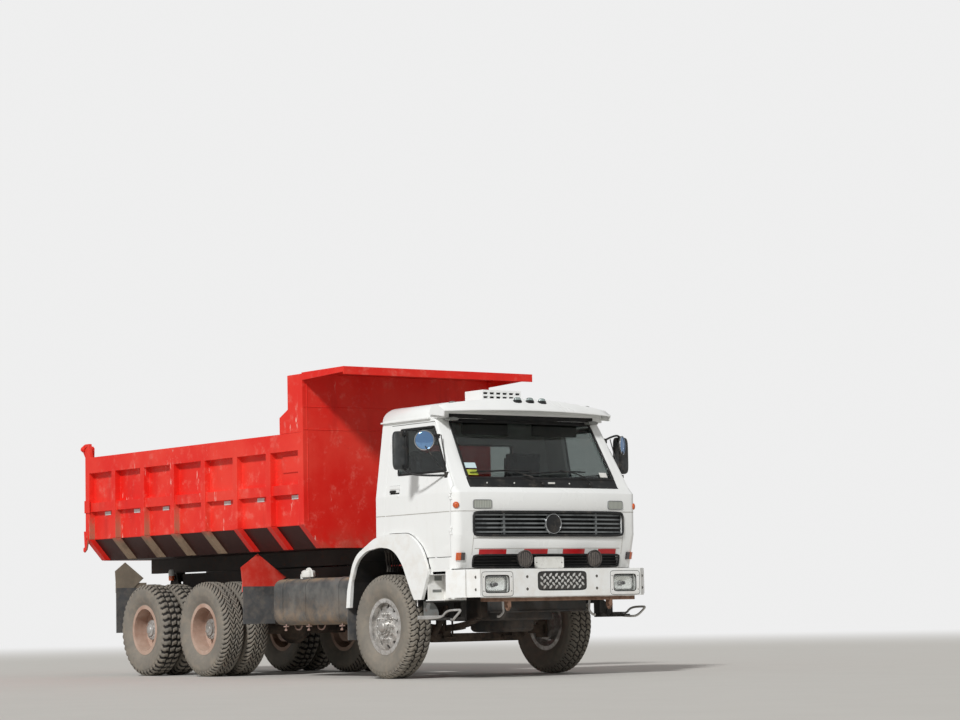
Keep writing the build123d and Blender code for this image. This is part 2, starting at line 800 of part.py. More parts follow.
def roof():
    """Crowned roof with the rain gutter and the slotted ventilation hatch."""
    top = roof_top
    front = roof_front
    side_lines = [
        Line((cab_back, gutter_z), (cab_back, gutter_z + 30)),
        ThreePointArc((cab_back, gutter_z + 30), (cab_back + 45, top - 75), (cab_back + 170, top - 28)),
        ThreePointArc((cab_back + 170, top - 28), (400, top), (front - 82, top - 22)),
        ThreePointArc((front - 82, top - 22), (front - 27, top - 62), (front, gutter_z + 40)),
        Line((front, gutter_z + 40), (front, gutter_z)),
        Line((front, gutter_z), (cab_back, gutter_z)),
    ]
    plane = Plane(origin=(0, 1300, 0), x_dir=(1, 0, 0), z_dir=(0, -1, 0))
    body = extrude(plane * make_face(side_lines), 2600, dir=(0, -1, 0))
    half = gutter_half
    front_lines = [
        Line((-half, gutter_z), (-half, gutter_z + 25)),
        ThreePointArc((-half, gutter_z + 25), (-half + 38, top - 90), (-half + 130, top - 48)),
        ThreePointArc((-half + 130, top - 48), (0, top), (half - 130, top - 48)),
        ThreePointArc((half - 130, top - 48), (half - 38, top - 90), (half, gutter_z + 25)),
        Line((half, gutter_z + 25), (half, gutter_z)),
        Line((half, gutter_z), (-half, gutter_z)),
    ]
    plane = Plane(origin=(-300, 0, 0), x_dir=(0, 1, 0), z_dir=(1, 0, 0))
    body &= extrude(plane * make_face(front_lines), 1500, dir=(1, 0, 0))
    body -= block((cab_back + 60, 800), (-half + 60, half - 60), (gutter_z - 1, gutter_z + 110))
    gutter = block((cab_back, 760), (half, half + 28), (gutter_z, gutter_z + 14))
    return body + both(gutter) + roof_hatch()


def roof_hatch():
    """Ventilation box on the roof with two rows of slots in front."""
    x, half = (250, 560), 250
    base, height = roof_top - 20, 150
    hatch = block(x, (-half, half), (base, base + height))
    slot_wide, slots = 58, 6
    for z in (base + 62, base + 104):
        for step in range(slots):
            y = (step - (slots - 1) / 2) * (2 * half / slots)
            hatch -= block((x[1] - 18, x[1] + 5), (y - slot_wide / 2, y + slot_wide / 2), (z, z + 22))
    return hatch


def visor_arch(crown, thick):
    """Outline across the truck of an arched plate with its top at crown."""
    half, droop = visor_half, visor_droop
    low = crown - thick
    return make_face([
        ThreePointArc((-half, crown - droop), (0, crown), (half, crown - droop)),
        ThreePointArc((-half, low - droop), (0, low), (half, low - droop)),
        Line((-half, crown - droop), (-half, low - droop)),
        Line((half, crown - droop), (half, low - droop)),
    ])


def visor():
    """Sun visor: flat cap with a rear wall on the roof, a sheet sloping forward from it, and end cheeks."""
    rear, bend, front = visor_x
    half, thick = visor_half, visor_plate
    tip = front - 125
    plane = Plane(origin=(700, 0, 0), x_dir=(0, 1, 0), z_dir=(1, 0, 0))
    sheet = extrude(plane * visor_arch(visor_crown, thick), 620, dir=(1, 0, -visor_slope))
    region = [
        Line((bend, -half), (bend, half)), Line((bend, half), (tip, half)),
        ThreePointArc((tip, half), (front, 0), (tip, -half)), Line((tip, -half), (bend, -half)),
    ]
    shape = sheet & extrude(Plane.XY.offset(2400) * make_face(region), 700, dir=(0, 0, 1))
    for x, deep in ((bend + 2, thick), (rear + thick, 90)):
        plane = Plane(origin=(rear, 0, 0), x_dir=(0, 1, 0), z_dir=(1, 0, 0))
        shape += extrude(plane * visor_arch(visor_cap, deep), x - rear, dir=(1, 0, 0))
    end = visor_cap - visor_droop
    cheek = across([(rear - 34, end - 85), (rear, end), (bend, end), (tip, end - visor_slope * (tip - bend)),
                    (tip - 8, end - 118)], half - thick, half)
    return shape + both(cheek)


def glass(outer, inner):
    """Windshield and rear window, each filling its opening."""
    pane = (outer - inner) & along(windshield_outline, 600, 1500)
    back = block((cab_back + glass_inset, cab_back + glass_inset + glass_thick), (-620, 620), (2080, 2440))
    back &= along(rear_window_outline, cab_back - 50, cab_back + 100)
    return pane, back


def grille():
    """Upper grille of swept bars and uprights, and the lower black slot."""
    upper = along([(-948, 1433), (948, 1433), (953, 1658), (-953, 1658)], 1290, 1302)
    half = 945
    for step in range(grille_bars):
        z = 1455 + step * grille_pitch
        lines = [ThreePointArc((1310, -half), (1378, 0), (1310, half)), Line((1310, -half), (1290, -half)),
                 ThreePointArc((1290, -half), (1352, 0), (1290, half)), Line((1310, half), (1290, half))]
        upper += extrude(Plane.XY.offset(z) * make_face(lines), 16, dir=(0, 0, 1))
    for y in (-590, 590):
        upper += block((1290, 1346), (y - 12, y + 12), (1433, 1658))
    lower = along([(-934, 1114), (934, 1114), (925, 1230), (-925, 1230)], 1222, 1236)
    return upper, lower


def lamps():
    """Headlamps in the bumper's pockets and round lamps on stalks above it."""
    y, z = lamp_pocket
    head = block((bumper_face - 60, bumper_face - 2), y, z)
    fog_y, fog_z, radius = 445, 1189, 80
    fog = bar((bumper_face - 90, fog_y, fog_z), (bumper_face - 8, fog_y, fog_z), radius)
    fog += bar((bumper_face - 60, fog_y, bumper_z[1]), (bumper_face - 60, fog_y, fog_z - radius + 16), 12)
    return both(head), both(fog)


def bumper():
    """Folded bumper with swept ends, stepped lower lip, lamp pockets and tow eyes."""
    low, high = bumper_z
    face = bumper_face
    flat = 1025
    sweep = 350
    half = [(face, flat), (face - 60, 1110), (face - sweep, bumper_half), (face - sweep, bumper_half - 70),
            (face - 150, flat + 5), (face - bumper_plate, flat - 80)]
    beam = upright(half + [(x, -y) for x, y in half[::-1]], low, high)
    beam += block((face - 90, face - 30), (-flat + 60, flat - 60), (low - 45, low))
    beam += both(block((rail_front, face - bumper_plate), (rail_half - rail_flange, rail_half),
                       (rail_top - rail_depth + 30, rail_top - 60)))
    beam -= both(block((face - 60, face + 10), *lamp_pocket))
    eye_x, eye_z = face - 60, low - 100
    lug = across([(eye_x - 45, low), (eye_x + 30, low), (eye_x + 38, eye_z), (eye_x, eye_z - 42),
                  (eye_x - 38, eye_z)], tow_eye_y - tow_lug / 2, tow_eye_y + tow_lug / 2)
    lug -= bar((eye_x, tow_eye_y - 50, eye_z), (eye_x, tow_eye_y + 50, eye_z), tow_eye_radius)
    return beam + both(lug)


arch_line = [(-575, 736), (-540, 1000), (-439, 1222), (-250, 1318), (-7, 1350), (248, 1326), (405, 1159),
             (540, 902), (608, 800)]
fender_line = [(735, 800), (860, 1075), (742, 1329), (524, 1478), (162, 1480), (-107, 1441), (-485, 1265),
               (-618, 924), (-642, 736)]
fender_bend = 350
fender_nose = 150


def fender_room():
    """Space above the left tyre that the fender's upper edge bounds, with the door's gap round it."""
    points = fender_line[:6] + [(-300, 1351), (-300, 800)]
    corners = [(1, fender_nose)] + [(place, fender_bend) for place in (2, 3, 4)]
    return across_face(grown_face(rounded(points, corners), door_gap), 700, 1300)


def fender(side):
    """Wheel arch: upright outer face and a thin curved tray over the tyre."""
    count = len(arch_line)
    bends = list(range(1, count - 1)) + list(range(count + 2, count + len(fender_line) - 1))
    corners = [(place, fender_bend) for place in bends] + [(count + 1, fender_nose)]
    face = across_face(rounded(arch_line + fender_line, corners), fender_half - fender_face, fender_half)
    arch = [(arch_line[0][0], 600)] + arch_line + [(arch_line[-1][0], 600)]
    tray = across_face(grown(arch, fender_wall), fender_inner, fender_half - fender_face)
    tray -= across(arch, fender_inner - 1, fender_half)
    tray -= block((-700, 800), (fender_inner - 1, fender_half), (500, arch_line[0][1]))
    shape = face + tray
    return shape if side > 0 else other_side(shape)


def steps():
    """Entry steps between the wheel arch and the bumper, hung on two plates."""
    step = block((960, 1040), (rail_half, 930), (1000, 1078))
    for z, x, y in step_rows:
        step += block(x, y, (z, z + step_thick))
    for x in (885, 1100):
        step += block((x, x + 12), (905, 975), (step_rows[-1][0], 1070))
    return both(step)


def guards():
    """Guard plates ahead of and behind the rear wheels, with rubber flaps below."""
    plates = None
    flaps = None
    # x of the plate, its y, z outline, foot of the flap, y of the flap
    rows = [
        (guard_x[0], [(1188, 1214), (966, 1365), (600, 1099), (751, 1015), (751, 1002), (1165, 1002)],
         585, (751, 1165)),
        (guard_x[1], [(1230, 1240), (1092, 1345), (843, 1154), (979, 1040), (1217, 1040)], 505, (800, 1217)),
    ]
    for x, outline, foot, y in rows:
        arm_z = min(z for _, z in outline)
        plate = along(outline, x, x + 8)
        plate += block((x - 40, x), (rail_half, 1150), (arm_z - 60, arm_z - 10))
        plate += block((x - 10, x), y, (arm_z - 60, arm_z + 60))
        flap = block((x, x + 10), y, (foot, arm_z))
        plates = both(plate) if plates is None else plates + both(plate)
        flaps = both(flap) if flaps is None else flaps + both(flap)
    x = arch_line[0][0] - 55
    return plates, flaps, both(block((x - 12, x), (800, 1180), (400, arch_line[0][1])))


def air_intake():
    """Air cleaner on its bracket behind the cab, with the raised inlet."""
    can = Pos(-420, -585, 1420) * Cylinder(150, 420)
    can += block((-500, -340), (-665, -505), (1630, 1980))
    can += block((-460, -380), (-585, -rail_half), (1215, 1260))
    can += block((-460, -380), (-rail_half, -rail_half + rail_flange), (rail_top, 1260))
    return can


def dashboard():
    half = 985
    low = floor_z + floor_thick
    outline = [(1200, low), (1215, 1890), (1130, 1905), (1000, 1850), (960, 1720), (1080, low)]
    return across(outline, -half, half)


def steering_wheel():
    """Wheel on its raked column, in front of the driver on the left."""
    axis = Vector(-0.45, 0, 0.9).normalized()
    centre = Vector(860, seat_y, 1930)
    radius, grip = 225, 16
    plane = Plane(origin=tuple(centre), z_dir=tuple(axis))
    across_rim = Plane.XZ * Pos(radius, 0, 0) * RegularPolygon(grip, 8)
    ring = plane * revolve(across_rim, axis=Axis.Z)
    spokes = plane * (Box(2 * radius - grip, 34, 14) + Box(34, 2 * radius - grip, 14))
    column = bar(tuple(centre + axis * 10), (1040, seat_y, 1570), 32)
    return ring + spokes + column


def seat(side):
    x = 120
    y = side * seat_y
    shape = block((x, x + 480), (y - 240, y + 240), (1640, 1760))
    shape += across([(x - 60, 1680), (x + 60, 1680), (x - 40, 2380), (x - 130, 2380)], y - 230, y + 230)
    shape += block((x + 80, x + 400), (y - 150, y + 150), (floor_z + floor_thick, 1640))
    return shape


def mirror_set(side):
    """Tall mirror and round mirror on arms from the door's front edge."""
    x, back = 735, 785
    arm_y = mirror_y - 30
    tall = block((x, back), (mirror_y - 95, mirror_y + 95), (2100, 2500))
    tall = fillet(tall.edges().filter_by(Axis.X), 25)
    disc = bar((945, 1277, 2363), (975, 1277, 2363), 100)
    # Two feet on the door, to the tall mirror's ends and to the disc
    high, low = (914, 1078, 2440), (1120, 1118, 2040)
    arm = bar(high, (back - 10, arm_y, 2490), 12)
    arm += bar(low, (back - 10, arm_y, 2110), 12)
    arm += bar(low, (960, 1277, 2363), 9)
    shape = tall + disc + arm
    return shape if side > 0 else other_side(shape)


# Node shapes

def build():
    nodes = {}
    form = cab_form(0)
    hollow = cab_form(cab_wall, low=-50, high=50)
    side_form = cab_form(door_wall, low=-50, high=50, reach=300)
    pane_outer = cab_form(glass_inset)
    pane_inner = cab_form(glass_inset + glass_thick)
    nodes["chassis_rails"] = chassis_rails()
    nodes["cross_members"] = cross_members()
    beams, foot_tube = hoist_subframe()
    nodes["hoist_subframe"] = beams + foot_tube
    nodes["front_axle_beam"] = front_axle_beam()
    nodes["rear_axles"] = rear_axles() + driveshaft()
    front_leaves, rear_leaves = springs()
    nodes["leaf_springs"] = front_leaves + rear_leaves - nodes["rear_axles"] - nodes["front_axle_beam"]
    nodes["engine"] = engine()
    nodes["radiator"] = radiator()
    nodes["fuel_tank"] = fuel_tank()
    box, tanks = left_boxes()
    nodes["battery_box"] = box
    nodes["air_tanks"] = tanks
    nodes["exhaust"] = exhaust()
    nodes["bumper"] = bumper()
    nodes["cab_back"], nodes["cab_shell"] = cab_shell(form, hollow, side_form)
    nodes["cab_roof"] = roof()
    nodes["sun_visor"] = visor() - nodes["cab_roof"]
    nodes["cab_floor"] = cab_floor()
    pane, back = glass(pane_outer, pane_inner)
    nodes["cab_windows"] = pane + back
    upper, lower = grille()
    nodes["grilles"] = upper + lower
    head, fog = lamps()
    nodes["lamps"] = head + fog
    nodes["steering_wheel"] = steering_wheel()
    nodes["dashboard"] = dashboard() - nodes["steering_wheel"]
    nodes["seats"] = seat(1) + seat(-1)
    nodes["cab_steps"] = steps()
    plates, flaps, front_flaps = guards()
    nodes["guard_plates"] = plates
    nodes["mud_flaps"] = flaps + front_flaps
    nodes["air_intake"] = air_intake()
    nodes["front_fenders"] = fender(1) + fender(-1)
    for side, name in ((1, "left"), (-1, "right")):
        nodes["knuckle_" + name] = knuckle(side)
        nodes["tyre_front_" + name] = tyre((0, side * front_wheel_y, tyre_radius))
        nodes["rim_front_" + name] = front_rim(side)
        for x, place in zip(rear_axle_x, ("middle", "rear")):
            outer = tyre((x, side * twin_outer_y, tyre_radius))
            inner = tyre((x, side * (twin_outer_y - twin_pitch), tyre_radius))
            nodes["tyres_" + place + "_" + name] = outer + inner
            nodes["rims_" + place + "_" + name] = rear_rims(x, side)
        nodes["door_" + name] = door(side, form, side_form)
        nodes["door_glass_" + name] = door_glass(side, pane_outer, pane_inner)
        nodes["mirrors_" + name] = mirror_set(side) - nodes["door_" + name]
    nodes["bed_floor"] = bed_floor()
    nodes["bed_sides"] = both(bed_side() + tailgate_post())
    nodes["bed_lower_ribs"] = lower_ribs()
    bearers, cheeks = bed_bearers()
    nodes["bed_bearers"] = bearers + cheeks
    nodes["bed_headboard"] = headboard()
    nodes["bed_canopy"] = canopy()
    nodes["tailgate"] = tailgate()
    nodes["hoist_barrel"], nodes["hoist_rod"] = hoist()
    return nodes


def main():
    os.makedirs("parts", exist_ok=True)
    for name, shape in build().items():
        export_step(Pos(-middle_x, 0, 0) * shape, "parts/" + name + ".step")


main()
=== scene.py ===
import bpy
import numpy as np
from mathutils import Matrix, Vector


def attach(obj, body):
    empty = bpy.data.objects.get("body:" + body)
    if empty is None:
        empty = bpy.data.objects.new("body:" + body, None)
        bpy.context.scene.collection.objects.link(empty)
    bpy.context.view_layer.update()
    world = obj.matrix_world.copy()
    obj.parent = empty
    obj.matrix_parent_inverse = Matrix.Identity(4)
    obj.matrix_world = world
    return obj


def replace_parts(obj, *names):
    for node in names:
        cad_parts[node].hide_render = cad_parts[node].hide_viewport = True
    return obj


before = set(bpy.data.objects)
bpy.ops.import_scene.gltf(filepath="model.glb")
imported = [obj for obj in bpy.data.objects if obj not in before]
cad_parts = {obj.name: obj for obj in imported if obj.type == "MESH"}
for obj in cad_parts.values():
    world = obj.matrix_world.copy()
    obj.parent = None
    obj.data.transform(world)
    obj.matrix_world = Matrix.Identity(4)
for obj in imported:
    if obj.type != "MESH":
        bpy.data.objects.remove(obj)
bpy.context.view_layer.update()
scene = bpy.context.scene
frontAxle = 2.429  # model x of the front axle; pieces are placed in metres from that axle
turn = 2 * np.pi
hands = ((1, "left"), (-1, "right"))

# Camera: its place, its three directions and its lens
view = {
    "place": (25.611, -16.885, 0.655), "right": (0.59026, 0.80697, -0.01992),
    "down": (-0.08684, 0.03895, -0.99546), "ahead": (-0.80253, 0.58931, 0.09307), "lens": 101.52,
}
cameraData = bpy.data.cameras.new("camera")
cameraData.lens = view["lens"]
camera = bpy.data.objects.new("camera", cameraData)
scene.collection.objects.link(camera)
rows = [[view["right"][i], -view["down"][i], -view["ahead"][i], view["place"][i]] for i in range(3)]
camera.matrix_world = Matrix(rows + [[0, 0, 0, 1]])
scene.camera = camera
scene.view_settings.view_transform = "Standard"


# Shader helpers

def ink(code):
    # Linear colour of an sRGB hex code
    part = np.array([int(code[i:i + 2], 16) for i in (0, 2, 4)]) / 255
    line = np.where(part <= 0.04045, part / 12.92, ((part + 0.055) / 1.055) ** 2.4)
    return (*[float(value) for value in line], 1.0)


class Value:
    # A shader socket that Python's operators work on; each operator adds a Math node
    def __init__(self, finish, socket):
        self.finish, self.socket = finish, socket

    def maths(self, operation, *values, clamp=False):
        return self.finish.node("ShaderNodeMath", {"operation": operation, "use_clamp": clamp}, values)

    def __add__(self, other): return self.maths("ADD", self, other)
    def __sub__(self, other): return self.maths("SUBTRACT", self, other)
    def __rsub__(self, other): return self.maths("SUBTRACT", other, self)
    def __mul__(self, other): return self.maths("MULTIPLY", self, other)
    __radd__, __rmul__ = __add__, __mul__

    def size(self): return self.maths("ABSOLUTE", self)
    def wave(self): return self.maths("SINE", self)
    def most(self, other): return self.maths("MAXIMUM", self, other)
    def clip(self): return self.maths("ADD", self, 0.0, clamp=True)

    def band(self, low, high):
        # 0 below low, 1 above high, smooth between
        values = {"Value": self, "From Min": low, "From Max": high}
        return self.finish.node("ShaderNodeMapRange", {"interpolation_type": "SMOOTHSTEP"}, values)


class Finish:
    # A material with its principled shader; fixed socket values are given by name
    def __init__(self, name, sockets={}):
        self.material = bpy.data.materials.new(name)
        self.material.use_nodes = True
        self.tree = self.material.node_tree
        self.shader = self.tree.nodes["Principled BSDF"]
        for key, value in sockets.items():
            self.shader.inputs[key].default_value = value
        self.place = self.node("ShaderNodeTexCoord", {}, {}, "Object")
        self.x, self.y, self.z = self.split(self.place)

    def node(self, kind, settings, values, out=0):
        made = self.tree.nodes.new(kind)
        for key, value in settings.items():
            setattr(made, key, value)
        for key, value in values.items() if isinstance(values, dict) else enumerate(values):
            if isinstance(value, Value):
                self.tree.links.new(value.socket, made.inputs[key])
            else:
                made.inputs[key].default_value = value
        return Value(self, made.outputs[out])

    def split(self, vector):
        first = self.node("ShaderNodeSeparateXYZ", {}, [vector])
        return [Value(self, socket) for socket in first.socket.node.outputs]

    def noise(self, scale, detail=4.0, rough=0.6, stretch=(1, 1, 1)):
        place = self.node("ShaderNodeMapping", {}, {"Vector": self.place, "Scale": stretch})
        values = {"Vector": place, "Scale": scale, "Detail": detail, "Roughness": rough}
        return self.node("ShaderNodeTexNoise", {}, values)

    def mix(self, amount, first, second):
        # A colour is a socket or a hex code
        first, second = [ink(color) if isinstance(color, str) else color for color in (first, second)]
        return self.node("ShaderNodeMix", {"data_type": "RGBA"}, {0: amount, 6: first, 7: second}, 2)

    def turned(self, axis):
        # How far the surface looks along an axis, from the normal in the piece's own frame
        return self.split(self.node("ShaderNodeTexCoord", {}, {}, "Normal"))[axis]

    def feed(self, socket, value):
        self.tree.links.new(value.socket, self.shader.inputs[socket])

    def bump(self, height, strength, distance):
        values = {"Strength": strength, "Distance": distance, "Height": height}
        self.feed("Normal", self.node("ShaderNodeBump", {}, values))
        return self.material


# Finishes, each made from its look

def paintFinish(name, look):
    # Worn paint: patches of fade, streaks, scrapes, chips and dust that thickens towards the ground; where
    # the look gives an under colour, painted shade on faces turned downwards
    f = Finish(name, {"Coat Weight": look.get("coat", 0.0), "Coat Roughness": 0.25,
                      "Specular IOR Level": look.get("shine", 0.5)})
    patch = f.noise(look["patch"], 5.0, 0.62)
    color = f.mix(patch.band(0.36, 0.66), look["base"], look["worn"])
    if "mottle" in look:
        color = f.mix(f.noise(7.0, 6.0, 0.72).band(0.52, 0.72) * 0.5, color, look["mottle"])
    streak = f.noise(look["streak"], 4.0, 0.6, look["run"])
    color = f.mix(streak.band(0.56, 0.78) * look["streaks"], color, look["deep"])
    scrape = f.noise(look["scrape"], 6.0, 0.7, look["run"]).band(0.61, 0.66)
    scrape = scrape * f.noise(look["patch"] * 1.7, 3.0, 0.5).band(0.5, 0.62) * look["scrapes"]
    color = f.mix(scrape, color, look["bare"])
    chip = f.noise(46.0, 5.0, 0.72).band(0.7, 0.73) * look["chips"]
    color = f.mix(chip, color, look["rust"])
    soil = (1 - f.z.band(*look["soil"])) * f.noise(5.0, 6.0, 0.65).band(0.34, 0.62)
    soil = (soil + f.noise(2.6, 6.0, 0.7).band(0.6, 0.85) * look["film"]).clip() * look["soils"]
    color = f.mix(soil, color, look["dust"])
    if "rear" in look:
        behind = (1 - f.x.band(-1.6, -0.75)) * (1 - f.z.band(1.7, 2.1)) * f.turned(0).band(0.4, 0.7)
        color = f.mix(behind * f.noise(4.0, 5.0, 0.7).band(0.25, 0.5) * 0.75, color, look["rear"])
    # Painted shade: faces turned downwards take the dark under colour
    if "under" in look:
        color = f.mix((f.turned(2) * -1).band(0.2, 0.7), color, look["under"])
    f.feed("Base Color", color)
    f.feed("Roughness", (look["rough"] + (patch - 0.5) * 0.25 + soil * 0.35 + scrape * 0.2).clip())
    height = f.noise(16.0, 5.0, 0.6) * 0.6 - chip * 0.5 - scrape * 0.15
    return f.bump(height + soil * f.noise(140.0, 3.0, 0.6) * 0.5, look.get("dent", 0.25), 0.006)


def steelFinish(name, look):
    # Bare or painted steel: base colour with grime in patches, rust in spots and dry dust
    look = {"patch": 4.0, "spot": 11.0, "rusts": 0.4, "rust": "6b3f2a", "soil": (0.3, 1.0), "soils": 0.6,
            "dust": "7d6c5e", "metal": 0.0, **look}
    f = Finish(name)
    grime = f.noise(look["patch"], 6.0, 0.65)
    color = f.mix(grime.band(0.35, 0.68), look["base"], look["worn"])
    rust = f.noise(look["spot"], 7.0, 0.7).band(0.56, 0.68) * look["rusts"]
    color = f.mix(rust, color, look["rust"])
    soil = (1 - f.z.band(*look["soil"])) * f.noise(7.0, 6.0, 0.7).band(0.3, 0.66) * look["soils"]
    soil = soil.most(f.turned(2).band(0.5, 0.95) * f.noise(6.0, 5.0, 0.6).band(0.3, 0.6) * look["soils"])
    f.feed("Base Color", f.mix(soil, color, look["dust"]))
    if look["metal"]:
        f.feed("Metallic", ((1 - rust - soil) * look["metal"]).clip())
    f.feed("Roughness", (look["rough"] + (grime - 0.5) * 0.35 + rust * 0.3 + soil * 0.4).clip())
    return f.bump(f.noise(34.0, 5.0, 0.6) * 0.5 + rust * 0.4 + soil * f.noise(170.0, 3.0, 0.6), 0.3, 0.004)


def rubberFinish(name, look):
    # Rubber under dry dust; a tyre's groove attribute paints shade, near black down in the tread
    f = Finish(name)
    patch = f.noise(4.0, 6.0, 0.6)
    color = f.mix(patch.band(0.3, 0.72), look["base"], look["worn"])
    color = f.mix(f.noise(9.0, 6.0, 0.65).band(0.4, 0.7) * look["soils"], color, look["dust"])
    groove = f.node("ShaderNodeAttribute", {"attribute_name": "groove"}, {}, "Fac")
    # Painted shade: near black down in the grooves
    f.feed("Base Color", f.mix(groove.band(0.25, 0.8), color, "211e1b"))
    f.feed("Roughness", (0.82 + (patch - 0.5) * 0.2).clip())
    return f.bump(f.noise(90.0, 4.0, 0.6) + f.noise(18.0, 3.0, 0.5) * 0.5, 0.35, 0.003)


def plasticFinish(name, look):
    # Moulded plastic: fine grain, slight bleaching and a film of dust
    f = Finish(name)
    patch = f.noise(6.0, 5.0, 0.6)
    color = f.mix(patch.band(0.35, 0.7), look["base"], look["worn"])
    soil = f.noise(9.0, 6.0, 0.7).band(0.5, 0.75) * look.get("soils", 0.25)
    f.feed("Base Color", f.mix(soil, color, "8b8175"))
    f.feed("Roughness", (look["rough"] + (patch - 0.5) * 0.2 + soil * 0.3).clip())
    return f.bump(f.noise(420.0, 2.0, 0.5), 0.15, 0.001)


def lensFinish(name, look):
    # Coloured lens: moulded flutes under a smooth face
    f = Finish(name, {"Coat Weight": 1.0, "Coat Roughness": 0.06})
    flute = (f.y * look.get("pitch", 420.0)).wave() * 0.5 + 0.5
    film = f.noise(24.0, 5.0, 0.65).band(0.5, 0.75) * 0.3
    f.feed("Base Color", f.mix(film, f.mix(flute, look["base"], look["worn"]), "8f867a"))
    f.feed("Roughness", (0.16 + film * 0.5).clip())
    return f.bump(flute + f.noise(60.0, 2.0, 0.5) * 0.2, 0.5, 0.002)


def glassFinish(name, look):
    # Tinted pane: clear, with a film of dust in patches
    f = Finish(name, {"Transmission Weight": 1.0, "IOR": 1.45})
    film = f.noise(3.0, 6.0, 0.7).band(0.45, 0.8) * look["film"]
    f.feed("Base Color", f.mix(film, look["base"], look["worn"]))
    f.feed("Roughness", (0.01 + film * 0.35).clip())
    return f.bump(f.noise(2.0, 2.0, 0.5), 0.04, 0.004)


def mirrorFinish(name, look):
    # Silvered glass or chrome with a dusty film and a few specks
    f = Finish(name, {"Metallic": 1.0})
    film = f.noise(14.0, 6.0, 0.7).band(0.45, 0.75)
    f.feed("Base Color", f.mix(film * 0.4, look["base"], look["worn"]))
    f.feed("Roughness", (look["rough"] + film * 0.25).clip())
    return f.bump(f.noise(5.0, 2.0, 0.5), look.get("dent", 0.05), 0.004)


def clothFinish(name, look):
    # Woven seat cloth: crossed threads, sewn channels across the seat and rubbed patches
    f = Finish(name, {"Sheen Weight": 0.3})
    patch = f.noise(6.0, 5.0, 0.6)
    weave = (f.x * 1900.0).wave() * (f.y * 1900.0).wave()
    channel = 1 - (f.y * look["stitch"] * np.pi).wave().size().band(0.0, 0.12)
    color = f.mix(patch.band(0.35, 0.7), look["base"], look["worn"])
    f.feed("Base Color", f.mix(channel * 0.6, color, "1d1e21"))
    f.feed("Roughness", (0.85 + (patch - 0.5) * 0.1).clip())
    return f.bump(weave * 0.12 - channel * 1.5, 0.5, 0.004)


def twoTone(name, look):
    # Two finishes on one node, shared out by a mask from the node's own place: 0 is the first
    f = Finish(name)
    mask, patch = look["where"](f), f.noise(7.0, 6.0, 0.65)
    one, two = [f.mix(patch.band(0.4, 0.7), *pair) for pair in look["pairs"]]
    f.feed("Base Color", f.mix(mask, one, two))
    first, second = look["metal"]
    f.feed("Metallic", mask * second + (1 - mask) * first)
    first, second = look["rough"]
    f.feed("Roughness", (mask * second + (1 - mask) * first + (patch - 0.5) * 0.2).clip())
    return f.bump(f.noise(90.0, 4.0, 0.6), 0.2, 0.002)


def look(kind, slot, base, worn, **others):
    return {"kind": kind, "slot": slot, "base": base, "worn": worn, **others}


def painted(first, second, rough, where, metal=(0.0, 0.0)):
    # Two finishes of a CAD node: each one's two colours, then how rough and how metallic each one is
    return {"kind": "two", "pairs": (first, second), "rough": rough, "where": where, "metal": metal}


def ahead(f, low, high):
    # 0 behind low and 1 ahead of high, in metres from the front axle
    return (f.x - frontAxle).band(low, high)


